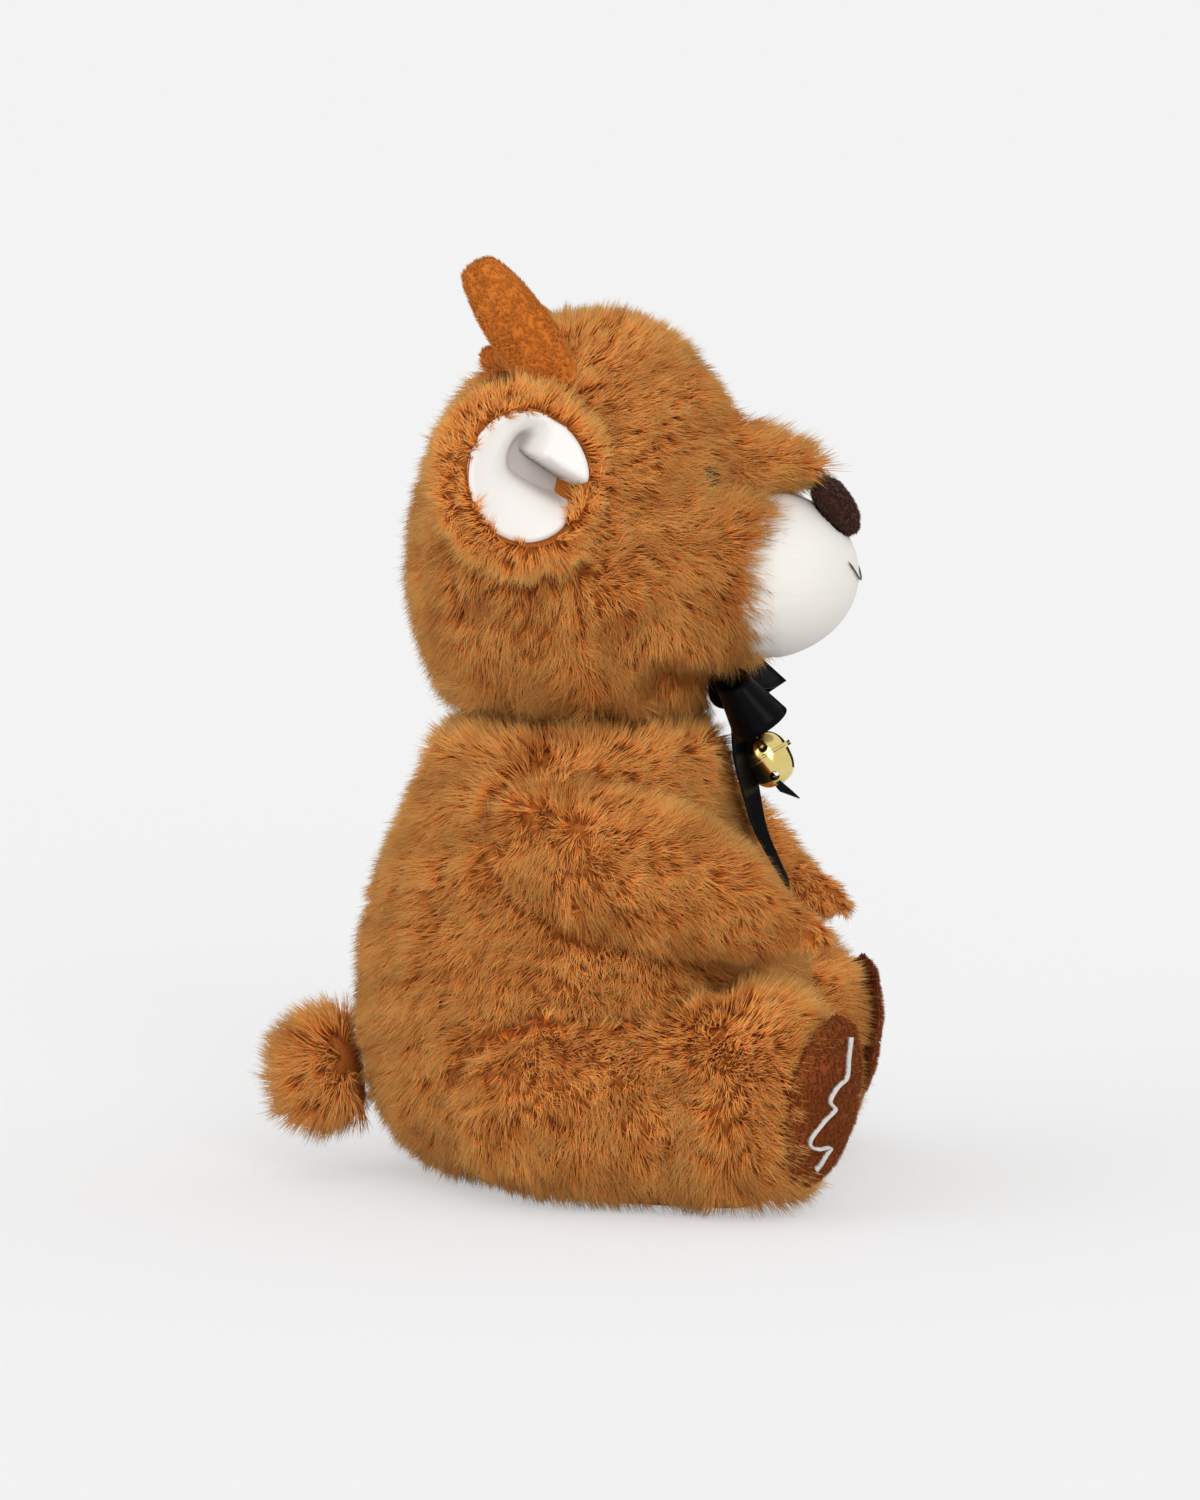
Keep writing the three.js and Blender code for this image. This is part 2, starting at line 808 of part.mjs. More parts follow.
// The slot across the bell's bottom, with a round hole at each end
function bellOpenings() {
  const reach = bellRadius * Math.sin(bellSlotAngle);
  const slot = new THREE.BoxGeometry(reach * 2, bellSlotWidth, bellRadius);
  slot.translate(0, 0, -bellRadius);
  let cut = solidOf(toBell(slot));
  for (const [, side] of sidesOfToy) {
    const hole = new THREE.CylinderGeometry(bellHoleRadius, bellHoleRadius, bellRadius, smallSides);
    hole.rotateX(Math.PI / 2);
    hole.translate(0, 0, -bellRadius);
    hole.rotateY(side * bellSlotAngle);
    cut = cut.add(solidOf(toBell(hole)));
  }
  return cut;
}

function pelletForm() {
  const ball = new THREE.SphereGeometry(pelletRadius, smallSides, smallRings);
  ball.translate(0, 0, -(bellRadius - bellWall - gap - pelletRadius));
  return solidOf(toBell(ball));
}

// Places a geometry made along +Z at an eye, looking out of the head
function toEye(geometry, side) {
  geometry.rotateX(Math.PI / 2);
  geometry.rotateZ(side * eyeTurn);
  const at = place(side * eyeAcross, eyeForward, eyeHeight);
  geometry.translate(at.x, at.y, at.z);
  return mergeVertices(stripped(geometry), mergeDistance);
}

// An eye: a domed button on a shank, grown by a clearance where it cuts its own room
function eyeForm(side, clearance) {
  const dome = new THREE.SphereGeometry(eyeRadius + clearance, smallSides, smallRings);
  const shank = new THREE.CylinderGeometry(
    shankRadius + clearance,
    shankRadius + clearance,
    shankLength + clearance * 2,
    smallSides,
  );
  shank.rotateX(Math.PI / 2);
  shank.translate(0, 0, -shankLength / 2);
  return solidOf(toEye(dome, side)).add(solidOf(toEye(shank, side)));
}

function washerForm(side, clearance) {
  const disc = new THREE.CylinderGeometry(
    washerRadius + clearance,
    washerRadius + clearance,
    washerThickness + clearance * 2,
    roundSides,
  );
  disc.rotateX(Math.PI / 2);
  disc.translate(0, 0, -eyeRadius - gap - washerThickness / 2 - washerSink);
  return solidOf(toEye(disc, side));
}

// The nose, a thick felt lens that leans back on the muzzle
function noseForm(clearance) {
  const lens = new THREE.SphereGeometry(1, roundSides, smallRings);
  lens.scale(noseHalfWidth + clearance, noseHalfDepth + clearance, noseHalfHeight + clearance);
  lens.rotateX(-noseLean);
  const at = place(0, noseForward, noseHeight);
  lens.translate(at.x, at.y, at.z);
  return solidOf(mergeVertices(stripped(lens), mergeDistance));
}

// The smile: a thread that lies on the muzzle's front
function mouthStitch() {
  const points = [];
  for (let i = 0; i <= mouthSteps; i++) {
    const share = (2 * i) / mouthSteps - 1;
    const across = mouthHalfWidth * share;
    const height = mouthHeight + mouthRise * share * share;
    const [u, w] = [across / muzzleHalfWidth, (height - muzzleHeight) / muzzleHalfHeight];
    const forward = muzzleReach - muzzleDepth + muzzleDepth * Math.sqrt(1 - u * u - w * w);
    points.push(place(across, forward + stitchRadius + gap, height));
  }
  return solidOf(threadAlong(points, stitchRadius, mouthSteps * 2));
}

// The bean pouch that weights the seat
function pouchForm(clearance) {
  const at = place(0, headForward, pouchHeight);
  return ellipsoid(
    at,
    pouchRadius + clearance,
    pouchRadius + clearance,
    pouchHalfHeight + clearance,
    roundSides,
    smallRings,
  );
}

function buildBody() {
  const form = bodyForm();
  const outer = solidOf(form).intersect(aboveSeat).intersect(belowNeck);
  const room = solidOf(inward(form, pile))
    .subtract(slab(-overrun, pile))
    .subtract(neckGroove(neckWall));
  addPiece("body_cover", outer.subtract(neckGroove(0)).subtract(room), "fur");
  const raised = pouchForm(gap);
  const sunk = raised.clone().translate(0, 0, -pouchHalfHeight);
  const stuffing = solidOf(inward(form, pile + gap))
    .intersect(belowNeck)
    .intersect(slab(pile + gap, neckHeight))
    .subtract(neckGroove(neckWall + gap))
    .subtract(solidOf(raised).add(solidOf(sunk)));
  addPiece("body_stuffing", stuffing, "stuffing");
  addPiece("seat_pouch", solidOf(pouchForm(0)), "beans");
  return form;
}

function buildHead() {
  const form = headForm();
  const bridge = bridgeForm();
  const outer = solidOf(form).add(solidOf(bridge)).intersect(aboveNeck);
  const room = solidOf(inward(form, pile))
    .subtract(neckGroove(neckWall))
    .subtract(chinRecess(neckWall));
  let cover = outer.subtract(neckGroove(0)).subtract(chinRecess(0)).subtract(room);
  let stuffing = solidOf(inward(form, pile + gap))
    .intersect(aboveNeck)
    .subtract(neckGroove(neckWall + gap))
    .subtract(chinRecess(neckWall + gap));
  for (const [name, side] of sidesOfToy) {
    cover = cover.subtract(eyeForm(side, gap));
    stuffing = stuffing.subtract(eyeForm(side, gap)).subtract(washerForm(side, gap));
    addPiece("eye_" + name, eyeForm(side, 0), "eye");
    addPiece("eye_washer_" + name, washerForm(side, 0).subtract(eyeForm(side, gap)), "beans");
  }
  addPiece("head_cover", cover, "fur");
  addPiece("head_stuffing", stuffing, "stuffing");
  return solidOf(inward(form, -gap)).add(solidOf(inward(bridge, -gap)));
}

function buildMuzzle(headRoom) {
  const form = muzzleForm();
  const nose = noseForm(gap);
  const cover = solidOf(form)
    .subtract(solidOf(inward(form, muzzleWall)))
    .subtract(headRoom)
    .subtract(nose);
  addPiece("muzzle_cover", cover, "white");
  const stuffing = solidOf(inward(form, muzzleWall + gap)).subtract(headRoom).subtract(nose);
  addPiece("muzzle_stuffing", stuffing, "stuffing");
  addPiece("nose", noseForm(0).subtract(headRoom), "nose");
  addPiece("mouth_stitch", mouthStitch(), "darkThread");
}

function buildEars(headRoom) {
  for (const [name, side] of sidesOfToy) {
    const bowl = solidOf(earBowl(side, earRadius, earDepth));
    const hollow = solidOf(earHollow(side, earLiningRadius + gap, earDepth + gap));
    const lining = solidOf(earHollow(side, earLiningRadius, earDepth));
    const [innerRadius, innerDepth] = [earLiningRadius, earDepth].map((size) => size - liningThickness);
    const inside = solidOf(earHollow(side, innerRadius, innerDepth));
    const front = solidOf(earBowl(side, earRadius, earDepth - earLiningSink));
    addPiece("ear_back_" + name, bowl.subtract(hollow).subtract(headRoom), "fur");
    const lined = lining.subtract(inside).intersect(front).subtract(headRoom);
    addPiece("ear_lining_" + name, lined, "white");
  }
}

function buildAntlers(headRoom) {
  for (const [name, side] of sidesOfToy) {
    const [beam, tine] = antlerForms(side);
    const inner = solidOf(inward(beam, antlerWall)).add(solidOf(inward(tine, antlerWall)));
    const outer = solidOf(beam).add(solidOf(tine));
    const filling = solidOf(inward(beam, antlerWall + gap)).add(solidOf(inward(tine, antlerWall + gap)));
    addPiece("antler_" + name, outer.subtract(inner).subtract(headRoom), "antler");
    addPiece("antler_stuffing_" + name, filling.subtract(headRoom), "stuffing");
  }
}

function buildLimbs(body) {
  const bodyRoom = solidOf(inward(body, -gap));
  for (const [name, side] of sidesOfToy) {
    const arm = armForm(side);
    const over = overLegs(side);
    const armWhole = solidOf(arm).subtract(bodyRoom).intersect(over);
    addPiece("arm_cover_" + name, armWhole.subtract(solidOf(inward(arm, pile))), "fur");
    const armFill = solidOf(inward(arm, pile + gap)).subtract(bodyRoom).intersect(over);
    addPiece("arm_stuffing_" + name, armFill, "stuffing");
    const leg = legForm(side);
    const front = beyondSole(side);
    const legWhole = solidOf(leg).intersect(aboveSeat).subtract(front).subtract(bodyRoom);
    addPiece("leg_cover_" + name, legWhole.subtract(solidOf(inward(leg, pile))), "fur");
    const fill = solidOf(inward(leg, pile + gap)).subtract(front).subtract(bodyRoom);
    addPiece("leg_stuffing_" + name, fill, "stuffing");
    const shifted = beyondSole(side, gap);
    addPiece("foot_sole_" + name, solidOf(solePad(side)).intersect(shifted), "sole");
    addPiece("sole_stitch_" + name, soleStitch(side), "thread");
  }
  return bodyRoom;
}

function buildTail(bodyRoom) {
  const form = tailForm();
  const cover = solidOf(form).subtract(solidOf(inward(form, pile))).subtract(bodyRoom);
  addPiece("tail_cover", cover, "fur");
  addPiece("tail_stuffing", solidOf(inward(form, pile + gap)).subtract(bodyRoom), "stuffing");
}

function buildBow() {
  const thread = ringAt(bellUp(threadRise), bellThreadRadius, bellThreadWire, true);
  addPiece("neck_band", neckBand(), "satin");
  addPiece("bow_knot", solidOf(knotForm()), "satin");
  for (const [name, side] of sidesOfToy) {
    addPiece("bow_loop_" + name, bowLoop(side), "satin");
    addPiece("ribbon_tail_" + name, ribbonTail(side), "satin");
  }
  addPiece("bell_thread", thread, "satin");
}

function buildBell() {
  addPiece("bell_top", bellHalf(1), "brass");
  addPiece("bell_bottom", bellHalf(-1).subtract(bellOpenings()), "brass");
  addPiece("bell_ring", ringAt(bellUp(ringRise), bellRingRadius, bellWireRadius, false), "brass");
  addPiece("bell_pellet", pelletForm(), "brass");
}

const body = buildBody();
const headRoom = buildHead();
buildMuzzle(headRoom);
buildEars(headRoom);
buildAntlers(headRoom);
const bodyRoom = buildLimbs(body);
buildTail(bodyRoom);
buildBow();
buildBell();

export default deer;
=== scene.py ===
"""The looks of a seated plush deer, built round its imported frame.

Metres, +Z up. The toy faces -Y and its right side is at -X.
Each stuffed part is a skin shrunk from its CAD solid, and the fur grows out of the skins as strands.
Lengths times MM are metres. Those in place(), in the flows and in the tables of places are millimetres.
"""
import math

import bmesh
import bpy
import numpy as np
from mathutils import Matrix, Vector
from mathutils.bvhtree import BVHTree
from mathutils.kdtree import KDTree


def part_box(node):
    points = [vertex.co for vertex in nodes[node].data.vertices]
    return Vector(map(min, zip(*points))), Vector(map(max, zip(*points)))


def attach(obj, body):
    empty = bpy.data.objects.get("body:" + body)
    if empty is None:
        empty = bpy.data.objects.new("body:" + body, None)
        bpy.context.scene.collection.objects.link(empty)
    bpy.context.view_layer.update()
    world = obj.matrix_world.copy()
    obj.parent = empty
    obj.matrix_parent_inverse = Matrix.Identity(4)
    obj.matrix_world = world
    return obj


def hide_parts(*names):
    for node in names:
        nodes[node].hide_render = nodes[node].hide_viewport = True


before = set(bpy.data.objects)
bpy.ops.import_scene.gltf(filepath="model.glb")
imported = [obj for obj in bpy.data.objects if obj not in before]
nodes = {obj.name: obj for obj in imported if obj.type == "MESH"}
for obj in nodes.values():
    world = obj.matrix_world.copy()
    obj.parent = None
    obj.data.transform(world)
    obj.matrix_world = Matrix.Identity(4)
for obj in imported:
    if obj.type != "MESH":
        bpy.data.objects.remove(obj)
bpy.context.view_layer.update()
scene = bpy.context.scene

MM = 0.001

# Camera
VIEW_TURN = math.radians(84)
VIEW_DISTANCE = 1.75
VIEW_HEIGHT = 300 * MM
AIM = Vector((0, -10.2 * MM, 125.6 * MM))
FIELD = 435 * MM
SENSOR = 36
CLIP_END = 100

# Light
BACKDROP = 0.896
SHADOW_LIFT = 0.5
SKY = 0.82
SUNS = {
    "key": {"from": (-1, -0.3, 0.42), "strength": 1.28, "spread": math.radians(35)},
    "fill": {"from": (-0.6, 0.9, 0.3), "strength": 0.6, "spread": math.radians(60)},
}
FLOOR_SIZE = 60
DARK_CARD = {"centre": (0.9, -0.4, 0.2), "size": 0.45, "facing": (-1, 0.45, 0)}

# Pile
PILE_SINK = 5.2 * MM
CONTACT_SINK = 0.7 * MM
CONTACT_GAP = 1.3 * MM
SEAT_FULLNESS = 0.3
SEAT_FADE = 14 * MM
FUR_EDGE = 3.2 * MM
SEAT_EDGE = 3 * MM
FUR_DENSITY = 3.1
STRAND_RADIUS = 0.22 * MM
STRANDS_PER_PIECE = 48000
STRAND_REACH = (0.72, 1.08)
STRAND_WIDTHS = (0.75, 1.25)
ROOT_DEPTH = 0.08
BASE_TONE = 0.6
TUFT_TONE = 0.22
PATCH_TONE = 0.2
STRAND_TONE = 0.16
SEED = 20261128

# How the small skins are made: voxel of the remesh, depth of the pile, rounds of averaging, and the rim where
# the pile fades out on a covered part
SMALL_SKINS = {
    "ear": {"voxel": 1.7 * MM, "sink": 3.6 * MM, "rounds": 5, "rim": (0.5 * MM, 3 * MM)},
    "muzzle": {"voxel": 1.3 * MM, "sink": 0.4 * MM, "rounds": 8, "rim": (0.5 * MM, 3 * MM)},
    "nose": {"voxel": 0.9 * MM, "sink": 0.5 * MM, "rounds": 14, "rim": (0.3 * MM, 1 * MM)},
    "antler": {"voxel": 1.3 * MM, "sink": 1.4 * MM, "rounds": 8, "rim": (0.5 * MM, 3 * MM)},
    "sole": {"voxel": 1.1 * MM, "sink": 0.8 * MM, "rounds": 5, "rim": (0.5 * MM, 2 * MM)},
}

# Sewn dart below each ear
DART_FORWARD = 9
DART_HEIGHT = 180

# Muzzle and mouth
MUZZLE_CENTRE = (0, -55.0, 177.5)
MUZZLE_REACH = (31, 31, 25.5)
MUZZLE_SEAM = 172.5 * MM
MOUTH_REACH = 12
MOUTH_LOW = 176
MOUTH_CURVE = 6
MOUTH_RISE = 0.1

# Ears, in millimetres, radians for the turns, and shares of the lining's radius for the crease and hollow
EAR_ACROSS = 66
EAR_FORWARD = -5
EAR_HEIGHT = 208
EAR_TURN = 0.58
EAR_TIP = 0.1
LINING_RADIUS = 18.3
LINING_LOW = 0.8
LINING_BOWL = 4.7
LINING_FLOOR = -5.2
LIP_RISE = 3.6
HOLLOW_DEPTH = 11
HOLLOW_WIDTH = 0.5
LIP_OVERHANG = 0.09
CREASE_START = (0.06, 0.54)
CREASE_END = (0.95, -0.04)
LINING_BED = 1.4
NOTCH_BED = 4
LINED_DEPTH = 6.8
LINED_MARGIN = 0.8

# Eyes
EYE_RADIUS = 4.6 * MM
EYE_DOME = 3.2 * MM
EYE_STEM = 1.6 * MM
EYE_TURN = 0.42
EYE_RECESS = 1.2 * MM
EYE_PLACE = (26, 45, 207)

# Antlers: the top and depth of the right one, and its seam's places forward and up
ANTLER_TOP = 271.5 * MM
ANTLER_DEPTH = 36.8
SEAM_PLACES = ((-21.8, 265.9), (-16.9, 258.9), (-11.9, 252.2), (-8.0, 243.3))

# Soles: place, turns in radians, half width, half height and bulge
SOLE_PLACE = (62.64, -79, 33.84)
SOLE_TURN = 0.42
SOLE_TIP = 0.16
SOLE_REACH = (23, 27, 7)

# Line on the soles, in shares of the sole's half width and half height
WAVE_SHARES = (
    (0.19, 0.68), (0.1, 0.47), (0.05, 0.28), (-0.15, 0.2), (-0.28, 0.07), (-0.13, -0.04), (-0.35, -0.15),
    (-0.54, -0.31), (-0.5, -0.4), (-0.33, -0.46), (-0.04, -0.47), (-0.11, -0.55), (-0.23, -0.7),
)

# Ribbon
RIBBON_WIDTH = 15 * MM
RIBBON_THICKNESS = 0.35 * MM
BAND_RADIUS = 27.5 * MM
BAND_PLEAT = 1.2 * MM
BAND_BACK = -5 * MM
BAND_LOW = 133.2 * MM
BAND_RISE = 7.8 * MM
LOOP_BULGE = 8.8 * MM
LOOP_REACH = 32
LOOP_FORWARD = 57.5
LOOP_HEIGHT = 141
LOOP_FLARE = 0.3
LOOP_SET_BACK = 5
TAIL_PLACES = {
    "right": ((3, 50, 137), (5, 51.5, 129), (9, 54.5, 117), (13.5, 58, 105), (17, 63, 95.5), (20, 67, 89)),
    "left": ((3, 50, 137), (5, 52, 131), (7, 56, 124), (9, 60.5, 117), (10, 65, 112)),
}
TAIL_TURN = 0.42
TAIL_TWIST = -0.4
TAIL_CUT = 8 * MM

# Bell
BELL_RADIUS = 6.9 * MM
BELL_DEPTH = 9.4 * MM
BELL_WALL = 0.5 * MM
BELL_PLACE = (0, -58.6, 124.6)
FLANGE_RADIUS = 8.1 * MM
FLANGE_RISE = 0.75 * MM
BELL_LEAN = 0.52
SLOT_ANGLE = 0.75
SLOT_WIDTH = 1.6 * MM
HOLE_RADIUS = 1.4 * MM

SIDES = (("right", -1), ("left", 1))


def srgb(red, green, blue):
    """A colour given as 0 to 255 screen values, as Blender's linear colour"""
    shares = [v / 255 for v in (red, green, blue)]
    linear = [v / 12.92 if v <= 0.04045 else ((v + 0.055) / 1.055) ** 2.4 for v in shares]
    return (*linear, 1)


def place(across, forward, up):
    """A point given in millimetres across (to the toy's left), forward and up"""
    return Vector((across * MM, -forward * MM, up * MM))


# Camera, light and floor


def add_object(name, data):
    made = bpy.data.objects.new(name, data)
    scene.collection.objects.link(made)
    return made


def add_camera():
    data = bpy.data.cameras.new("camera")
    data.sensor_width = SENSOR
    data.lens = SENSOR * VIEW_DISTANCE / FIELD
    data.clip_end = CLIP_END
    camera = add_object("camera", data)
    reach = Vector((-math.sin(VIEW_TURN), -math.cos(VIEW_TURN), 0)) * VIEW_DISTANCE
    camera.location = Vector((AIM.x, AIM.y, VIEW_HEIGHT)) + reach
    camera.rotation_euler = (AIM - camera.location).to_track_quat("-Z", "Y").to_euler()
    scene.camera = camera


def add_suns():
    for name, sun in SUNS.items():
        data = bpy.data.lights.new(name, "SUN")
        data.energy = sun["strength"]
        data.angle = sun["spread"]
        made = add_object(name, data)
        made.rotation_euler = Vector(sun["from"]).to_track_quat("Z", "Y").to_euler()


def add_world():
    """Plain studio light. The camera, reflections and what shows through get the backdrop's tone."""
    world = bpy.data.worlds.new("studio")
    scene.world = world
    world.use_nodes = True
    tree = world.node_tree
    background = tree.nodes["Background"]
    path = tree.nodes.new("ShaderNodeLightPath")
    seen = path.outputs["Is Camera Ray"]
    for ray in ("Is Glossy Ray", "Is Transmission Ray"):
        either = tree.nodes.new("ShaderNodeMath")
        either.operation = "MAXIMUM"
        tree.links.new(seen, either.inputs[0])
        tree.links.new(path.outputs[ray], either.inputs[1])
        seen = either.outputs[0]
    strength = tree.nodes.new("ShaderNodeMapRange")
    tree.links.new(seen, strength.inputs["Value"])
    strength.inputs["To Min"].default_value = SKY
    strength.inputs["To Max"].default_value = BACKDROP
    tree.links.new(strength.outputs["Result"], background.inputs["Strength"])
    background.inputs["Color"].default_value = (1, 1, 1, 1)


# Materials


class Value:
    """A node's output that can stand in sums and products. Each adds its Math node."""

    def __init__(self, finish, socket):
        self.finish = finish
        self.socket = socket

    def math(self, operation, *values):
        return self.finish.node("Math", {"operation": operation}, values=values)

    def __add__(self, other):
        return self.math("ADD", self, other)

    def __sub__(self, other):
        return self.math("SUBTRACT", self, other)

    def __mul__(self, other):
        return self.math("MULTIPLY", self, other)


class Finish:
    """One material. node() adds a node and gives its output, surface() ends the material."""

    def __init__(self, name):
        self.material = bpy.data.materials.new(name)
        self.material.use_nodes = True
        self.tree = self.material.node_tree
        self.tree.nodes.clear()

    def feed(self, socket, value):
        if isinstance(value, Value):
            self.tree.links.new(value.socket, socket)
        else:
            socket.default_value = value

    def node(self, kind, settings=None, output=0, values=(), **inputs):
        made = self.tree.nodes.new("ShaderNode" + kind)
        for key, setting in (settings or {}).items():
            if key == "stops":
                self.set_stops(made.color_ramp, setting)
            else:
                setattr(made, key, setting)
        for index, value in enumerate(values):
            self.feed(made.inputs[index], value)
        for key, value in inputs.items():
            self.feed(made.inputs[key.replace("_", " ")], value)
        return Value(self, made.outputs[output])

    def set_stops(self, ramp, stops):
        while len(ramp.elements) < len(stops):
            ramp.elements.new(1)
        for element, (position, colour) in zip(ramp.elements, stops):
            element.position = position
            element.color = colour

    def attribute(self, name):
        return self.node("Attribute", {"attribute_name": name}, "Fac")

    def at(self):
        """The place on the object"""
        return self.node("TexCoord", output="Object")

    def noise(self, scale, detail=3):
        return self.node("TexNoise", Vector=self.at(), Scale=scale, Detail=detail)

    def ramp(self, value, *stops):
        return self.node("ValToRGB", {"stops": stops}, Fac=value)

    def mix(self, share, first, second, blend="MIX"):
        """Two colours mixed by a share"""
        made = self.tree.nodes.new("ShaderNodeMix")
        made.data_type = "RGBA"
        made.blend_type = blend
        self.feed(made.inputs[0], share)
        self.feed(made.inputs[6], first)
        self.feed(made.inputs[7], second)
        return Value(self, made.outputs[2])

    def bump(self, height, distance, strength=1.0):
        return self.node("Bump", Height=height, Distance=distance, Strength=strength)

    def end(self, shader):
        """The material, with this shader linked to its output"""
        output = self.tree.nodes.new("ShaderNodeOutputMaterial")
        self.tree.links.new(shader.socket, output.inputs["Surface"])
        return self.material

    def surface(self, **inputs):
        """The material, as a Principled surface with these sockets"""
        return self.end(self.node("BsdfPrincipled", **inputs))


def pile_finish(name, root, body, tip, deep, sheen, roughness=0.6):
    """Strands: dark at the root, lighter at the tip, with a tone that changes from tuft to tuft"""
    finish = Finish(name)
    along = finish.attribute("along")
    tone = finish.attribute("tone")
    length = finish.ramp(along, (0, root), (0.5, body), (1, tip))
    shaded = finish.mix(1.0, length, deep, "MULTIPLY")
    return finish.surface(
        Base_Color=finish.mix(tone, shaded, length),
        Roughness=roughness,
        Specular_IOR_Level=0.12,
        Sheen_Weight=sheen,
        Sheen_Roughness=0.45,
        Sheen_Tint=tip,
    )


def skin_finish(name, low, high):
    """The woven backing between the strands"""
    finish = Finish(name)
    weave = finish.noise(900)
    patch = finish.noise(60)
    colour = finish.mix(weave * 0.5 + patch * 0.5, low, high)
    return finish.surface(
        Base_Color=colour,
        Roughness=0.95,
        Specular_IOR_Level=0.1,
        Normal=finish.bump(weave, 0.4 * MM),
    )


def velvet_finish(name, low, high, grain, depth, sheen=0.3):
    """Short dense pile: fine grain with softly brushed patches"""
    finish = Finish(name)
    fine = finish.noise(grain, 4)
    brushed = finish.noise(grain * 0.09, 3)
    colour = finish.mix(fine * 0.55 + brushed * 0.45, low, high)
    return finish.surface(
        Base_Color=colour,
        Roughness=0.85,
        Specular_IOR_Level=0.15,
        Sheen_Weight=sheen,
        Sheen_Roughness=0.4,
        Normal=finish.bump(fine, depth),
    )


def white_finish(name, low, high, seam=None, painted_fold_shade=False):
    """Smooth white plush with a soft nap. seam is the height of a sewn line across it. Where the mesh's
    attribute deep is high, shade is painted into the nap, which greys it in a crease; the last argument turns
    this painted shade on."""
    finish = Finish(name)
    nap = finish.noise(1500, 4)
    brushed = finish.noise(45, 3)
    colour = finish.mix(brushed, low, high)
    # Painted shade: the nap is greyed towards (176, 168, 163) by the attribute deep, most in the crease
    if painted_fold_shade:
        colour = finish.mix(finish.attribute("deep"), colour, srgb(176, 168, 163))
    relief = nap * 0.12
    if seam:
        up = finish.node("SeparateXYZ", output="Z", values=(finish.at(),))
        off = finish.node("Math", {"operation": "ABSOLUTE"}, values=(up - seam,))
        groove = finish.node("MapRange", Value=off, From_Min=0, From_Max=1.2 * MM)
        relief = relief + groove * 0.1
    return finish.surface(
        Base_Color=colour,
        Roughness=0.8,
        Specular_IOR_Level=0.15,
        Sheen_Weight=0.2,
        Sheen_Roughness=0.5,
        Normal=finish.bump(relief, 0.5 * MM),
    )


def satin_finish():
    """Black satin: fine threads over a smooth sheen"""
    finish = Finish("black_satin")
    bands = {"wave_type": "BANDS", "bands_direction": "Z"}
    rib = finish.node("TexWave", bands, 1, Vector=finish.at(), Scale=900)
    cloud = finish.noise(120)
    return finish.surface(
        Base_Color=finish.mix(cloud, srgb(6, 6, 7), srgb(11, 11, 13)),
        Roughness=cloud * 0.08 + 0.24,
        Specular_IOR_Level=0.04,
        Anisotropic=0.5,
        Normal=finish.bump(rib, 0.02 * MM, 0.3),
    )


def brass_finish():
    """Polished brass with faint scratches and a little tarnish"""
    finish = Finish("brass")
    tarnish = finish.noise(300, 5)
    scratch = finish.noise(2600, 6)
    colour = finish.mix(tarnish, srgb(214, 190, 108), srgb(238, 220, 150))
    return finish.surface(
        Base_Color=colour,
        Metallic=1.0,
        Roughness=scratch * 0.08 + 0.07,
        Normal=finish.bump(scratch, 0.01 * MM, 0.2),
    )


def thread_finish(name, low, high):
    finish = Finish(name)
    fibre = finish.noise(2500, 2)
    colour = finish.mix(fibre, low, high)
    return finish.surface(
        Base_Color=colour,
        Roughness=0.6,
        Sheen_Weight=0.2,
        Normal=finish.bump(fibre, 0.1 * MM),
    )


def plastic_finish(name, low, high, gloss):
    finish = Finish(name)
    mottle = finish.noise(400, 3)
    colour = finish.mix(mottle, low, high)
    return finish.surface(Base_Color=colour, Roughness=mottle * 0.04 + gloss)


def floor_finish():
    """Pale paper in the backdrop's tone. For the camera part of it glows, so that its shadows are faint."""
    light = SKY
    for sun in SUNS.values():
        light += sun["strength"] * Vector(sun["from"]).normalized().z / math.pi
    finish = Finish("floor")
    share = BACKDROP / light
    paper = finish.node("BsdfDiffuse", Color=(share, share, share, 1))
    lit = finish.node("Emission", Color=(1, 1, 1, 1), Strength=BACKDROP)
    seen = finish.node("LightPath", output="Is Camera Ray") * SHADOW_LIFT
    return finish.end(finish.node("MixShader", values=(seen, paper, lit)))


FUR = pile_finish(
    "brown_fur", srgb(182, 88, 26), srgb(252, 160, 74), srgb(255, 208, 124), (0.56, 0.42, 0.34, 1), 0.14
)
FUR_SKIN = skin_finish("fur_backing", srgb(138, 74, 26), srgb(172, 100, 42))
ANTLER_PILE = pile_finish(
    "antler_pile", srgb(186, 98, 26), srgb(212, 124, 42), srgb(228, 150, 70), (0.8, 0.72, 0.62, 1), 0.12
)
ANTLER_SKIN = velvet_finish("antler_plush", srgb(182, 96, 28), srgb(208, 122, 46), 900, 0.3 * MM, 0.1)
SOLE = velvet_finish("sole_plush", srgb(106, 46, 12), srgb(144, 72, 26), 700, 0.4 * MM, 0.1)
SOLE_PILE = pile_finish(
    "sole_pile", srgb(108, 46, 12), srgb(146, 72, 26), srgb(176, 104, 50), (0.74, 0.66, 0.6, 1), 0.1
)
NOSE = velvet_finish("nose_felt", srgb(46, 24, 20), srgb(72, 42, 34), 1100, 0.3 * MM, 0.1)
NOSE_PILE = pile_finish(
    "nose_pile", srgb(50, 26, 22), srgb(76, 44, 36), srgb(128, 98, 84), (0.6, 0.5, 0.5, 1), 0.1, 0.75
)
MUZZLE = white_finish("white_plush_muzzle", srgb(219, 216, 209), srgb(224, 221, 215), seam=MUZZLE_SEAM)
# The ears' lining gets painted shade in its crease
LINING = white_finish("white_plush_ears", srgb(226, 223, 219), srgb(231, 229, 225), painted_fold_shade=True)
SATIN = satin_finish()
BRASS = brass_finish()
WHITE_THREAD = thread_finish("white_thread", srgb(228, 224, 216), srgb(244, 242, 238))
DARK_THREAD = thread_finish("dark_thread", srgb(34, 18, 17), srgb(60, 38, 34))
SEAM_THREAD = thread_finish("seam_thread", srgb(116, 58, 20), srgb(150, 82, 32))
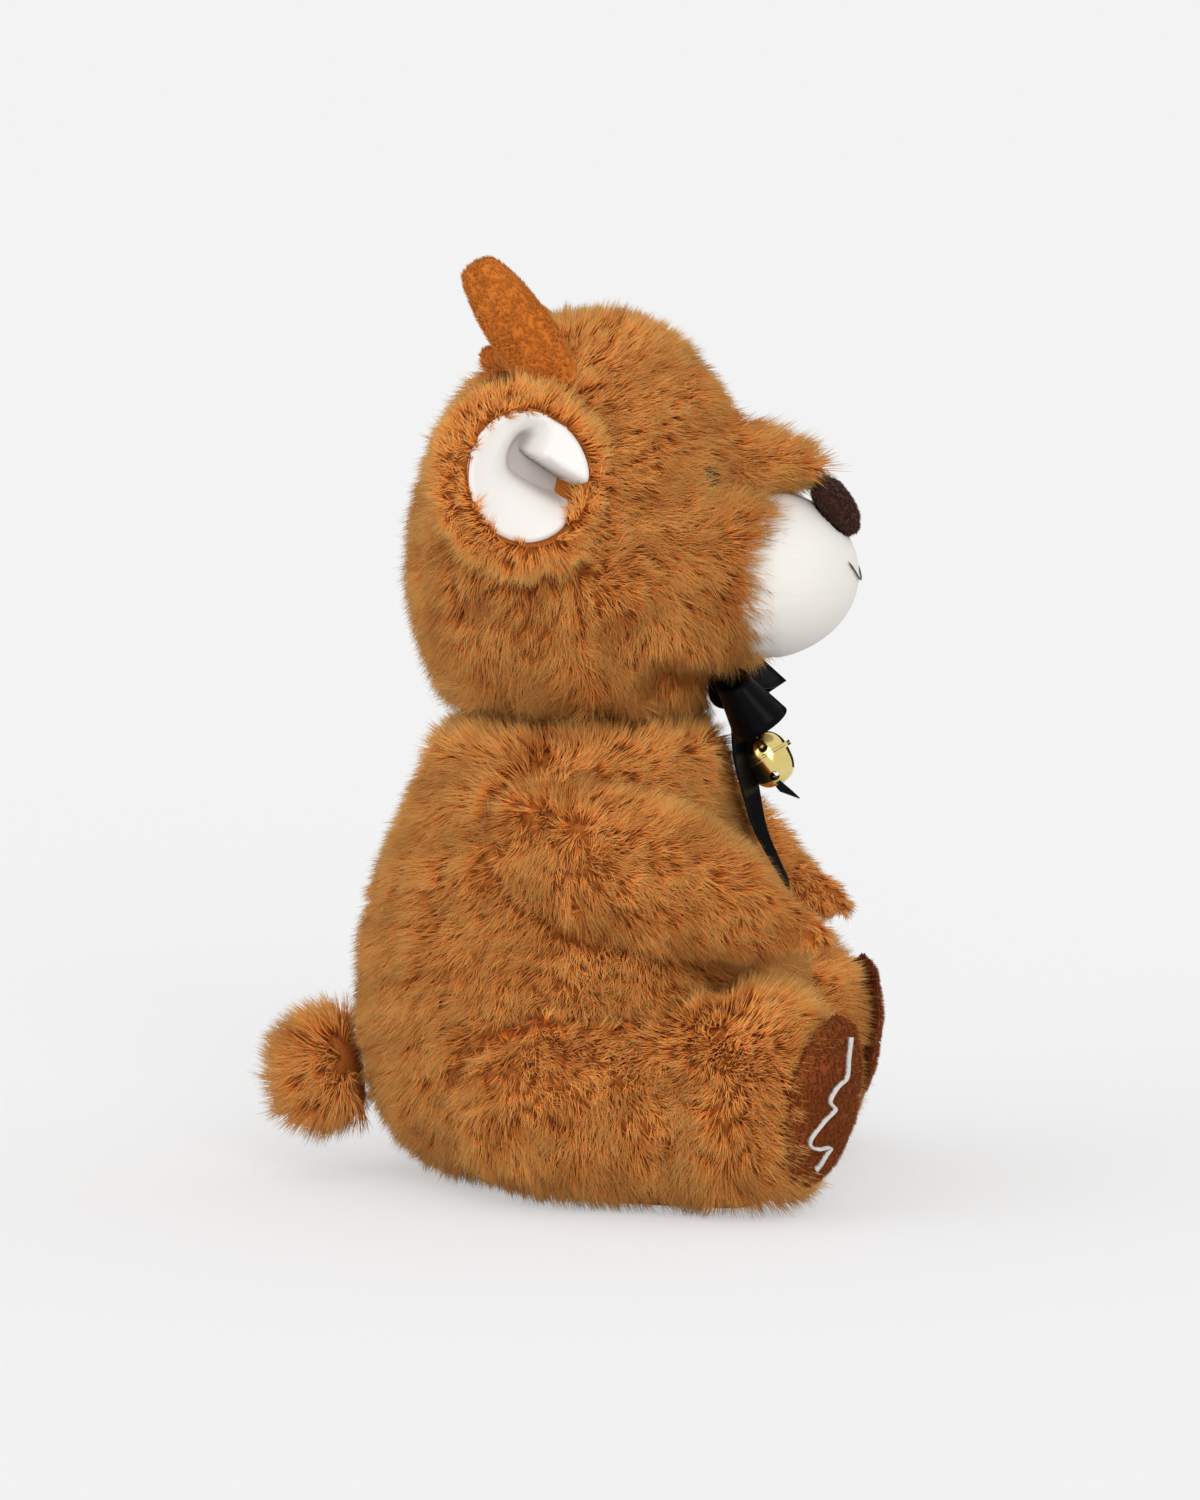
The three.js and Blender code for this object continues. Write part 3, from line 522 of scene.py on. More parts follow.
EYE = plastic_finish("eye_plastic", srgb(14, 10, 9), srgb(22, 16, 14), 0.05)
WASHER = plastic_finish("washer_plastic", srgb(226, 226, 220), srgb(240, 240, 236), 0.35)
BEAN_CLOTH = thread_finish("bean_cloth", srgb(206, 200, 188), srgb(226, 220, 208))


# Meshes


def read(items, key, width, kind=np.float32):
    """One property of all of a mesh's items, a row for each"""
    flat = np.empty(len(items) * width, kind)
    items.foreach_get(key, flat)
    return flat.reshape(-1, width)


def points_of(mesh):
    return read(mesh.vertices, "co", 3).astype(float)


def normals_of(mesh):
    return read(mesh.vertex_normals, "vector", 3).astype(float)


def set_points(mesh, points):
    mesh.vertices.foreach_set("co", np.asarray(points, np.float32).ravel())
    mesh.update()


def edges_of(mesh):
    return read(mesh.edges, "vertices", 2, np.int32)


def averaged(values, edges, rounds):
    """Values on points, each moved halfway to its neighbours' mean a number of times"""
    values = np.asarray(values, float)
    flat = values.reshape(len(values), -1)
    ends = np.concatenate([edges[:, 0], edges[:, 1]])
    others = np.concatenate([edges[:, 1], edges[:, 0]])
    count = np.maximum(np.bincount(ends, minlength=len(flat)), 1)
    for _ in range(rounds):
        means = [np.bincount(ends, flat[others, k], len(flat)) / count for k in range(flat.shape[1])]
        flat = (flat + np.stack(means, 1)) / 2
    return flat.reshape(values.shape)


def smoothstep(value, low, high):
    t = np.clip((value - low) / (high - low), 0, 1)
    return t * t * (3 - 2 * t)


def unit(vectors):
    return vectors / np.maximum(np.linalg.norm(vectors, axis=-1, keepdims=True), 1e-12)


def shade_smooth(mesh):
    mesh.polygons.foreach_set("use_smooth", np.ones(len(mesh.polygons), bool))
    mesh.update()


def finish_piece(piece, body, material):
    """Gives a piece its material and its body"""
    piece.data.materials.clear()
    piece.data.materials.append(material)
    shade_smooth(piece.data)
    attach(piece, body)
    return piece


def object_from(made, name):
    """A bmesh as a new object"""
    mesh = bpy.data.meshes.new(name)
    made.to_mesh(mesh)
    made.free()
    return add_object(name, mesh)


def settle(piece):
    """Applies every modifier of a piece"""
    graph = bpy.context.evaluated_depsgraph_get()
    mesh = bpy.data.meshes.new_from_object(piece.evaluated_get(graph))
    piece.modifiers.clear()
    piece.data = mesh
    mesh.name = piece.name
    return piece


def cad_copy(names):
    """The merged meshes of CAD nodes"""
    made = bmesh.new()
    for name in names:
        made.from_mesh(nodes[name].data)
    bmesh.ops.remove_doubles(made, verts=made.verts, dist=1e-6)
    return made


def tree_from(made):
    """A bmesh's search tree. The bmesh is freed."""
    tree = BVHTree.FromBMesh(made)
    made.free()
    return tree


def distances(points, names):
    """How far each point is from the surfaces of CAD nodes"""
    tree = tree_from(cad_copy(names))
    return np.array([tree.find_nearest(p)[3] for p in points])


def depth_into(points, covered):
    """How far each covered point is from the nearest one that is free"""
    tree = KDTree(int((~covered).sum()))
    for index, point in enumerate(points[~covered]):
        tree.insert(point, index)
    tree.balance()
    deep = np.zeros(len(points))
    deep[covered] = [tree.find(point)[2] for point in points[covered]]
    return deep


def remeshed(name, cad, voxel):
    """CAD nodes as one even closed mesh"""
    piece = object_from(cad_copy(cad), name)
    remesh = piece.modifiers.new("voxels", "REMESH")
    remesh.mode = "VOXEL"
    remesh.voxel_size = voxel
    return settle(piece)


def stuffed_skin(
    name, cad, beside, voxel=3 * MM, sink=PILE_SINK, rounds=12, rim=(2 * MM, 8 * MM), shape=None
):
    """A stuffed skin inside its CAD solids: shrunk by the pile where it is free, and full where it meets
    its neighbours or the ground. Gives the piece and where fur grows on it."""
    piece = remeshed(name, cad, voxel)
    mesh = piece.data
    edges = edges_of(mesh)
    points = points_of(mesh)
    covered = np.minimum(distances(points, beside), points[:, 2]) < CONTACT_GAP
    deep = depth_into(points, covered)
    inner = smoothstep(deep, *rim)
    grows = (deep < FUR_EDGE) & (points[:, 2] > SEAT_EDGE)
    points = averaged(points, edges, rounds)
    set_points(mesh, points)
    full = SEAT_FULLNESS * np.exp(-points[:, 2] / SEAT_FADE)
    depth = averaged(sink * (1 - full) * (1 - inner) + CONTACT_SINK * inner, edges, 6)
    points = points - normals_of(mesh) * depth[:, None]
    if shape:
        points = shape(points, normals_of(mesh))
    set_points(mesh, averaged(points, edges, 2))
    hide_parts(*cad)
    return piece, grows.astype(float)


def skin_tree(piece):
    made = bmesh.new()
    made.from_mesh(piece.data)
    return tree_from(made)


def grid_piece(name, points, thickness=0.0, closed=False):
    """A sheet through rows of points. closed joins the last point of each row to its first."""
    rows, columns = len(points), len(points[0])
    made = bmesh.new()
    verts = [[made.verts.new(p) for p in row] for row in points]
    steps = columns if closed else columns - 1
    for i in range(rows - 1):
        for j in range(steps):
            k = (j + 1) % columns
            made.faces.new((verts[i][j], verts[i][k], verts[i + 1][k], verts[i + 1][j]))
    bmesh.ops.remove_doubles(made, verts=made.verts, dist=1e-7)
    if not thickness:
        bmesh.ops.recalc_face_normals(made, faces=made.faces)
    piece = object_from(made, name)
    if thickness:
        solidify = piece.modifiers.new("thickness", "SOLIDIFY")
        solidify.thickness = thickness
        solidify.offset = 0
    return piece


def sheet_piece(name, body, points, material, thickness, closed=False):
    """A sheet of cloth through rows of points, with its thickness, its material and its body"""
    piece = grid_piece(name, points, thickness, closed)
    settle(piece)
    finish_piece(piece, body, material)
    return piece


def lathe(name, profile, steps=72):
    """A profile of radii and heights turned once round +Z. It starts and ends on the axis, or is closed."""
    made = bmesh.new()
    ring = [made.verts.new((radius, 0, height)) for radius, height in profile]
    pairs = list(zip(ring, ring[1:]))
    if profile[0][0] > 0:
        pairs.append((ring[-1], ring[0]))
    edges = [made.edges.new(pair) for pair in pairs]
    turn = {"cent": (0, 0, 0), "axis": (0, 0, 1), "dvec": (0, 0, 0), "angle": 2 * math.pi}
    bmesh.ops.spin(made, geom=ring + edges, steps=steps, use_merge=True, use_duplicate=False, **turn)
    bmesh.ops.remove_doubles(made, verts=made.verts, dist=1e-6)
    bmesh.ops.recalc_face_normals(made, faces=made.faces)
    return object_from(made, name)


def tube(name, path, radius):
    """A closed tube along a path, with rounded ends"""
    sides = 8
    path = np.asarray(path, float)
    way = unit(np.gradient(path, axis=0))
    helper = np.array((0.3, 0.2, 1.0))
    across = unit(np.cross(way, helper))
    deep = np.cross(way, across)
    rows = []
    swell = [0.02, 0.7, *[1.0] * (len(path) - 4), 0.7, 0.02]
    for at, a, b, share in zip(path, across, deep, swell):
        turns = [2 * math.pi * k / sides for k in range(sides)]
        rows.append([at + (a * math.cos(t) + b * math.sin(t)) * radius * share for t in turns])
    piece = grid_piece(name, rows, closed=True)
    made = bmesh.new()
    made.from_mesh(piece.data)
    bmesh.ops.holes_fill(made, edges=made.edges)
    bmesh.ops.recalc_face_normals(made, faces=made.faces)
    made.to_mesh(piece.data)
    made.free()
    return piece


def moved(piece, matrix):
    """Moves the piece's mesh and leaves its object at the origin"""
    piece.data.transform(matrix)
    if matrix.determinant() < 0:
        piece.data.flip_normals()
    return piece


def path_through(points, steps):
    """Evenly spaced points on a smooth curve through these points"""
    points = np.asarray(points, float)
    padded = np.concatenate([[2 * points[0] - points[1]], points, [2 * points[-1] - points[-2]]])
    fine = []
    for i in range(len(points) - 1):
        a, b, c, d = padded[i : i + 4]
        t = np.linspace(0, 1, 24, endpoint=False)[:, None]
        square = (2 * a - 5 * b + 4 * c - d) * t**2
        cube = (3 * b - a - 3 * c + d) * t**3
        fine.append(0.5 * (2 * b + (c - a) * t + square + cube))
    fine = np.concatenate(fine + [points[-1:]])
    run = np.concatenate([[0], np.cumsum(np.linalg.norm(np.diff(fine, axis=0), axis=1))])
    even = np.linspace(0, run[-1], steps)
    return np.stack([np.interp(even, run, fine[:, k]) for k in range(fine.shape[1])], 1)


# Fur


def wobble(points, size, seed):
    """A smooth random direction at each point, which changes over about this size"""
    rng = np.random.default_rng(seed)
    total = np.zeros_like(points)
    for _ in range(5):
        wave = unit(rng.normal(size=3)) * rng.uniform(0.7, 1.6) * 2 * math.pi / size
        total += np.sin(points @ wave + rng.uniform(0, 6.28))[:, None] * rng.normal(size=3)
    return total / 2.2


def along_skin(vectors, normals):
    """Vectors with what points out of the skin taken away"""
    return vectors - normals * np.sum(vectors * normals, 1, keepdims=True)


def sample(piece, share, count, rng):
    """Places and normals spread at random over a skin where its share is high, and the area of that part"""
    mesh = piece.data
    mesh.calc_loop_triangles()
    corners = read(mesh.loop_triangles, "vertices", 3, np.int32)
    points = points_of(mesh)
    normals = normals_of(mesh)
    a, b, c = (points[corners[:, k]] for k in range(3))
    area = np.linalg.norm(np.cross(b - a, c - a), axis=1) / 2
    chance = area * (share[corners].mean(1) > 0.3)
    picked = rng.choice(len(area), count, p=chance / chance.sum())
    u, v = rng.random((2, count))
    over = u + v > 1
    u[over], v[over] = 1 - u[over], 1 - v[over]
    weights = np.stack([1 - u - v, u, v], 1)[:, :, None]
    chosen = corners[picked]
    return (points[chosen] * weights).sum(1), unit((normals[chosen] * weights).sum(1)), chance.sum()


def strand_template(pointed_root):
    """One strand round +Z, three sided and one unit tall: a cone, or a spindle where its root is pointed too.
    Gives its points, its faces and the step of each point along the spine."""
    made = bmesh.new()
    if pointed_root:
        bmesh.ops.create_uvsphere(made, u_segments=3, v_segments=2, radius=1)
        bmesh.ops.transform(made, verts=made.verts, matrix=Matrix.Diagonal((1, 1, 0.5, 1)))
    else:
        bmesh.ops.create_cone(made, cap_ends=True, cap_tris=False, segments=3, radius1=1, radius2=0, depth=1)
        bmesh.ops.remove_doubles(made, verts=made.verts, dist=1e-5)
    bmesh.ops.translate(made, verts=made.verts, vec=(0, 0, 0.5))
    bmesh.ops.recalc_face_normals(made, faces=made.faces)
    made.verts.index_update()
    points = np.array([v.co for v in made.verts])
    faces = np.array([[v.index for v in face.verts] for face in made.faces])
    made.free()
    steps = 2 if pointed_root else 1
    return points, faces, np.rint(points[:, 2] * steps).astype(int)


def strand_mesh(name, spine, width, tone):
    """Strands as one mesh. spine is each strand's root and tip, with its middle between them or not."""
    count = len(spine)
    points, faces, step = strand_template(spine.shape[1] == 3)
    heading = unit(spine[:, -1] - spine[:, 0])
    helper = np.where(np.abs(heading[:, 2:]) > 0.9, (1.0, 0.0, 0.0), (0.0, 0.0, 1.0))
    across = unit(np.cross(heading, helper))
    deep = np.cross(heading, across)
    ring = points[None, :, :1] * across[:, None] + points[None, :, 1:2] * deep[:, None]
    made = spine[:, step] + ring * width[:, None, None]
    corners = faces.ravel()
    total = count * len(faces)
    offsets = np.arange(count)[:, None] * len(points)
    mesh = bpy.data.meshes.new(name)
    mesh.vertices.add(count * len(points))
    mesh.loops.add(total * 3)
    mesh.polygons.add(total)
    mesh.vertices.foreach_set("co", made.astype(np.float32).ravel())
    mesh.loops.foreach_set("vertex_index", (corners[None] + offsets).astype(np.int32).ravel())
    mesh.polygons.foreach_set("loop_start", np.arange(0, total * 3, 3, dtype=np.int32))
    tones = np.repeat(tone, len(points)).astype(np.float32)
    alongs = np.tile(points[:, 2], count).astype(np.float32)
    mesh.attributes.new("tone", "FLOAT", "POINT").data.foreach_set("value", tones)
    mesh.attributes.new("along", "FLOAT", "POINT").data.foreach_set("value", alongs)
    chart = np.empty((count, len(corners), 2), np.float32)
    chart[:, :, 0] = 0.01 + 0.98 * tone[:, None] + 0.004 * points[corners, 0][None]
    chart[:, :, 1] = 0.01 + 0.98 * points[corners, 2][None] + 0.002 * points[corners, 1][None]
    mesh.uv_layers.new(name="OFBake").data.foreach_set("uv", chart.ravel())
    mesh.update(calc_edges=True)
    return mesh


LONG_PILE = {
    "per_clump": 8,
    "spread": 1.3 * MM,
    "gather": 0.35,
    "width": STRAND_RADIUS,
    "turn": 0.24,
    "uneven": 0.1,
    "loose": 0.2,
    "sway": 0.3,
}
SHORT_PILE = {
    "per_clump": 4,
    "spread": 0.5 * MM,
    "gather": 0.2,
    "width": 0.12 * MM,
    "turn": 0.2,
    "uneven": 0.08,
    "loose": 0.2,
    "sway": 0.15,
}


def tufts(centres, normals, flow, lift, length, rng, pile):
    """Strand spines, widths and tones for tufts at these centres"""
    count = len(centres)
    lean = unit(along_skin(flow, normals))
    side = np.cross(normals, lean)
    turn = rng.normal(0, pile["turn"], count) + pile["turn"] * wobble(centres, 22 * MM, 3)[:, 0]
    lean = unit(lean * np.cos(turn)[:, None] + side * np.sin(turn)[:, None])
    side = np.cross(normals, lean)
    tuft_length = length * (1 + rng.normal(0, pile["uneven"], count).clip(-0.3, 0.25))
    tuft_tone = rng.normal(0, TUFT_TONE, count) + PATCH_TONE * wobble(centres, 16 * MM, 5)[:, 0]
    total = count * pile["per_clump"]
    pick = np.repeat(np.arange(count), pile["per_clump"])
    polar = rng.uniform(0, 2 * math.pi, total)
    radius = pile["spread"] * np.sqrt(rng.random(total))
    n, f, s = normals[pick], lean[pick], side[pick]
    offset = (f * np.cos(polar)[:, None] + s * np.sin(polar)[:, None]) * radius[:, None]
    reach = tuft_length[pick] * rng.uniform(*STRAND_REACH, total)
    up = np.clip(lift[pick] + rng.normal(0, 0.06, total), 0.05, 1.5)
    rise = n * (up + 0.15)[:, None]
    forward = f * np.maximum(1.05 - up, 0.12)[:, None]
    way = unit(rise + forward + s * rng.normal(0, pile["loose"], (total, 1)))
    root = centres[pick] + offset - n * (ROOT_DEPTH * length[pick])[:, None]
    tip = root + way * reach[:, None] - offset * pile["gather"]
    widths = pile["width"] * rng.uniform(*STRAND_WIDTHS, total)
    tones = BASE_TONE + tuft_tone[pick] + rng.normal(0, STRAND_TONE, total)
    return np.stack([root, tip], 1), widths, tones


def grow(name, body, piece, share, flow, density, length, material, slot, pile=LONG_PILE, tone=0.0):
    """Grows fur on a skin: density is in strands a square millimetre.
    flow gives the way, lift and length share of the strands at places in millimetres."""
    rng = np.random.default_rng(SEED + sum(map(ord, name)))
    area = sample(piece, share, 1, rng)[2]
    clumps = int(area / MM**2 * density / pile["per_clump"])
    centres, normals, _ = sample(piece, share, clumps, rng)
    way, lift, scale = flow(centres / MM)
    way = unit(way) + wobble(centres, 30 * MM, len(name)) * pile["sway"]
    way += wobble(centres, 10 * MM, len(name) + 7) * pile["sway"] * 0.7
    lift = lift + 0.09 * wobble(centres, 14 * MM, len(name) + 3)[:, 0]
    spine, widths, tones = tufts(centres, normals, way, lift, length * scale, rng, pile)
    tones = np.clip(tones + tone + 0.1 * wobble(spine[:, 0], 18 * MM, 3)[:, 0], 0, 1)
    spine[:, :, 2] = np.maximum(spine[:, :, 2], 0.3 * MM)
    spine[:, 0, 2] = np.maximum(spine[:, 0, 2], 0.8 * MM)
    middle = points_of(piece.data).mean(0)
    order = np.argsort(np.arctan2(spine[:, 0, 1] - middle[1], spine[:, 0, 0] - middle[0]), kind="stable")
    groups = np.array_split(order, max(1, math.ceil(len(order) / STRANDS_PER_PIECE)))
    for number, group in enumerate(groups):
        label = name if len(groups) == 1 else f"{name}_{number + 1}"
        mesh = strand_mesh(label, spine[group], widths[group], tones[group])
        finish_piece(add_object(label, mesh), body, material)


def stitches(name, body, path, tree, reach, radius, material, rise, running=False):
    """Short threads laid across a path on a skin, or along it, each rising in its middle"""
    path = np.array([tree.find_nearest(p)[0] for p in path])
    normals = np.array([tree.find_nearest(p)[1] for p in path])
    way = unit(np.gradient(path, axis=0))
    across = way if running else unit(np.cross(way, normals))
    rng = np.random.default_rng(SEED)
    reaches = reach * rng.uniform(0.9, 1.1, (len(path), 1))
    half = across * reaches / 2
    sunk = normals * rise * 0.5
    spine = np.stack([path - half - sunk, path + normals * rise, path + half - sunk], 1)
    mesh = strand_mesh(name, spine, np.full(len(path), radius), rng.uniform(0, 1, len(path)))
    return finish_piece(add_object(name, mesh), body, material)


def directions(points, *terms):
    """A sum of fixed directions, each with its weight at the points"""
    total = np.zeros_like(points)
    for vector, weight in terms:
        total += np.array(vector, float)[None] * np.broadcast_to(weight, len(points))[:, None]
    return total


def away_from(points, centre):
    return unit(points - np.array(centre, float))


def level(count, value):
    return np.full(count, float(value))


def whorl(points, centre, reach, strength):
    """Directions out from a whorl, which fade with the distance from it"""
    near = np.exp(-np.sum((points - centre) ** 2, 1) / reach**2)
    return away_from(points, centre) * (strength * near)[:, None]


def body_flow(points):
    """Down the back and sides, forward over the chest, up round the neck, out from the shoulders' whorls"""
    _, y, z = points.T
    neck = smoothstep(z, 124, 133)
    way = directions(
        points,
        ((0, 0, -1), 0.9 * (1 - neck)),
        ((0, 0, 1), 1.2 * neck),
        ((0, -1, 0), 0.6 * smoothstep(-y, -10, 40)),
        ((0, 1, 0), 0.3),
    )
    for _, side in SIDES:
        way += whorl(points, (side * 55, 0, 120), 34, 2.2)
    return way, 0.5 + 0.45 * neck, 1 + 0.15 * neck


def head_flow(points):
    """Forward on the cheeks, down over the neck, back over the nape, up on the crown, forward and down over
    the bridge, and away from the darts on both sides"""
    x, y, z = points.T
    low = smoothstep(-z, -190, -160)
    back = smoothstep(y, 5, 40)
    top = smoothstep(z, 232, 252)
    cheek = smoothstep(-y, 34, 50) * smoothstep(-z, -200, -188)
    way = directions(
        points,
        ((0, -1, 0), (1 - low) * (1 - back) + 0.6 * cheek),
        ((0, 0, -1), 0.25 + 1.1 * low),
        ((0, 0.7, -0.5), back),
        ((0, -0.3, 0.5), top),
    )
    edge = smoothstep(-y, 44, 52) * smoothstep(z, 150, 156)
    for _, side in SIDES:
        gap, above = y + DART_FORWARD, z - DART_HEIGHT
        near = np.exp(-(gap**2) / 9**2) * smoothstep(-np.abs(above), -26, -12) * (side * x > 20)
        way[:, 1] += np.sign(gap) * 1.4 * near
    bridge = smoothstep(-y, 48, 62) * smoothstep(z, 190, 200)
    way[:, 1] -= 1.2 * bridge + 1.2 * edge
    way[:, 2] -= 0.6 * bridge
    neck = smoothstep(-z, -158, -144)
    lift = 0.5 + 0.1 * bridge + 0.2 * top - 0.2 * neck - 0.1 * edge
    return way, lift, (1 - 0.12 * top) * (1 + 0.3 * bridge + 0.5 * neck + 0.55 * edge * (1 - bridge))


def arm_flow(points):
    """Forward and down towards the hand, out from the shoulder's whorl"""
    _, y, z = points.T
    hand = smoothstep(-y, 54, 72)
    low = smoothstep(-z, -105, -80)
    way = directions(points, ((0, -1, 0), 0.8 * (1 - 0.8 * hand)), ((0, 0, -1), 0.7 * low + 1.2 * hand))
    for _, side in SIDES:
        way += whorl(points, (side * 62, 2, 118), 30, 2.2)
    return way, 0.48 - 0.2 * hand, 1 - 0.35 * hand


def leg_flow(points):
    """Down and forward along the leg, parted round the foot: back behind the parting, forward to the sole"""
    x, y, _ = points.T
    fore = smoothstep(-y, 50, 58)
    foot = smoothstep(-y, 34, 48)
    way = directions(
        points,
        ((0, -1, 0), 0.45 * (1 - foot) + 1.1 * fore - 0.1 * foot * (1 - fore)),
        ((0, 0, -1), 0.8 - 0.3 * fore),
    )
    way += whorl(points, (np.sign(x.mean()) * 84, -24, 40), 16, 0.4)
    return way, 0.48 + 0.1 * foot, 1 + 0.15 * foot


def ear_flow(points):
    """Out from the ear's middle all round"""
    side = np.sign(points[:, 0])
    centre = np.stack([side * 62, level(len(side), 3), level(len(side), 207)], 1)
    return unit(points - centre), level(len(side), 0.62), level(len(side), 1)


def tail_flow(points):
    """Out from the tail's root"""
    return away_from(points, (0, 44, 30)), level(len(points), 0.55), level(len(points), 1)


def antler_flow(points):
    """From the root to the tip"""
    return directions(points, ((0, 0.55, 0.8), 1)), level(len(points), 0.3), level(len(points), 1)


def even_flow(points):
    """Nearly upright, leaning down"""
    return directions(points, ((0, 0, -1), 1)), level(len(points), 0.6), level(len(points), 1)


# Covers


def dent(points, centre, radius, depth, direction):
    """Pushes points near a place in a direction"""
    near = np.exp(-np.sum((points - np.array(centre)) ** 2, 1) / radius**2)
    return points + np.array(direction)[None] * (depth * near)[:, None]


def head_shape(points, normals):
    """Sunken eye places, a dart below each ear, and a full chin, cheeks and bridge"""
    for _, side in SIDES:
        points = dent(points, place(side * 34, 54, 205), 11 * MM, 4.5 * MM, (-side * 0.4, 0.8, 0))
        on_side = side * points[:, 0] > 20 * MM
        across = points[:, 1] + DART_FORWARD * MM
        level_share = smoothstep(-np.abs(points[:, 2] - DART_HEIGHT * MM), -26 * MM, -12 * MM)
        near = np.exp(-(across**2) / (4 * MM) ** 2) * level_share * on_side
        points = points - normals * (3 * MM * near)[:, None]
    forward, up = -points[:, 1] / MM, points[:, 2] / MM
    chin = smoothstep(forward, 26, 42) * smoothstep(-up, -172, -156) * smoothstep(up, 138, 142)
    cheek = smoothstep(forward, 38, 50) * smoothstep(-up, -204, -192) * (1 - chin)
    bridge = smoothstep(forward, 48, 60) * smoothstep(up, 194, 202)
    points = points + normals * (4 * MM * chin + 3.6 * MM * cheek)[:, None]
    return points - np.array((0, 1, 0)) * (5 * MM * np.maximum(cheek, 0.8 * bridge))[:, None]


LIMBS = [f"{limb}_cover_{name}" for limb in ("arm", "leg") for name, _ in SIDES]
BODY_BESIDE = ["head_cover", *LIMBS, "tail_cover"]
HEAD_BESIDE = ["body_cover", "muzzle_cover", "ear_back_right", "ear_back_left", "antler_right", "antler_left"]


def build_cover(part, body, beside, fill, flow, length, end="", **skin):
    """One furred part: its stuffed skin, and the fur on it. end is the end of a paired part's names."""
    cad = [f"{part}_cover{end}", f"{part}_stuffing{end}"]
    piece, grows = stuffed_skin(f"{part}_skin{end}", cad, beside, **skin)
    finish_piece(piece, body, FUR_SKIN)
    grow(f"fur_{part}{end}", body, piece, grows, flow, FUR_DENSITY, length, FUR, "brown_fur")


def build_body():
    build_cover("body", "torso", BODY_BESIDE, 0.7, body_flow, 8.6 * MM)


def build_head():
    build_cover("head", "head", HEAD_BESIDE, 0.75, head_flow, 8.4 * MM, voxel=2.6 * MM, shape=head_shape)


def build_arms():
    for end in ("_right", "_left"):
        beside = ["body_cover", "leg_cover" + end]
        build_cover("arm", "arm" + end, beside, 0.6, arm_flow, 8.4 * MM, end)


def build_legs():
    for end in ("_right", "_left"):
        beside = ["body_cover", "foot_sole" + end, "arm_cover" + end]
        build_cover("leg", "leg" + end, beside, 0.6, leg_flow, 8.6 * MM, end)


def build_tail():
    build_cover("tail", "tail", ["body_cover"], 0.5, tail_flow, 11.5 * MM)


# Ears


def ear_matrix(side):
    """The ear's own frame, in millimetres: +Z out of the lining"""
    centre = Matrix.Translation(place(side * EAR_ACROSS, EAR_FORWARD, EAR_HEIGHT) / MM)
    turn = Matrix.Rotation(-side * EAR_TURN, 4, "Z") @ Matrix.Rotation(side * (math.pi / 2 - EAR_TIP), 4, "Y")
    return Matrix.Scale(MM, 4) @ centre @ turn


def lining_height(ahead, up):
    """How far the lining stands out, in millimetres, and slides ahead and up, in shares of its radius.
    The places are such shares too. The upper front lobe folds over a deep crease that opens to the front."""
    start, end = np.array(CREASE_START), np.array(CREASE_END)
    run = end - start
    length = np.linalg.norm(run)
    run = run / length
    t = ((ahead - start[0]) * run[0] + (up - start[1]) * run[1]) / length
    s = (up - start[1]) * run[0] - (ahead - start[0]) * run[1]
    over = smoothstep(s, -0.035, 0.035) * smoothstep(t, -0.06, 0.3)
    lip = LIP_RISE * np.exp(-((s / 0.4) ** 2)) * over
    hollow = HOLLOW_DEPTH * np.exp(-((s / HOLLOW_WIDTH) ** 2)) * smoothstep(t, -0.4, 0.15) * (1 - over)
    hollow *= np.maximum(smoothstep(-np.hypot(ahead, up), -1, -0.7), smoothstep(ahead, 0.3, 0.7))
    bowl = LINING_LOW + LINING_BOWL * (ahead**2 + up**2) ** 1.1
    height = np.maximum(bowl + lip - hollow, LINING_FLOOR)
    slide = over * np.exp(-np.maximum(s, 0) / 0.14) * LIP_OVERHANG
    return height, slide * run[1], -slide * run[0]


def ear_places(points, frame_at, side):
    """Points in the ear's own frame, and how far ahead and up they are in shares of the lining's radius"""
    back = np.array(frame_at.inverted())
    local = points @ back[:3, :3].T + back[:3, 3]
    return local, -local[:, 1] / LINING_RADIUS, -side * local[:, 0] / LINING_RADIUS


def build_ears():
    for name, side in SIDES:
        frame_at = ear_matrix(side)

        def ear_shape(points, normals):
            """Hollows the skin under the lining"""
            local, ahead, up = ear_places(points, frame_at, side)
            under = lining_height(ahead, up)[0] - LINING_BED - NOTCH_BED * smoothstep(ahead, 0.5, 0.8)
            inside = (local[:, 2] > -6) & (ahead**2 + up**2 < 1.02)
            local[inside, 2] = np.minimum(local[inside, 2], under[inside])
            out = np.array(frame_at)
            return local @ out[:3, :3].T + out[:3, 3]

        beside = ["head_cover", "ear_lining_" + name]
        piece, grows = stuffed_skin(
            "ear_skin_" + name, ["ear_back_" + name], beside, **SMALL_SKINS["ear"], shape=ear_shape
        )
        local, ahead, up = ear_places(points_of(piece.data), frame_at, side)
        floor = lining_height(ahead, up)[0] - LINED_DEPTH
        round_axis = np.hypot(local[:, 0], local[:, 1])
        facing = normals_of(piece.data) @ np.array(frame_at.inverted())[:3, :3].T
        lined = (local[:, 2] > floor) & (round_axis < LINING_RADIUS + LINED_MARGIN) & (facing[:, 2] > 0)
        grows = grows * ~lined
        finish_piece(piece, "ear_" + name, FUR_SKIN)
        fur = {"density": FUR_DENSITY, "length": 7.6 * MM, "material": FUR, "slot": "brown_fur"}
        grow("fur_ear_" + name, "ear_" + name, piece, grows, ear_flow, **fur, tone=0.4)
        build_lining(name, side, frame_at)


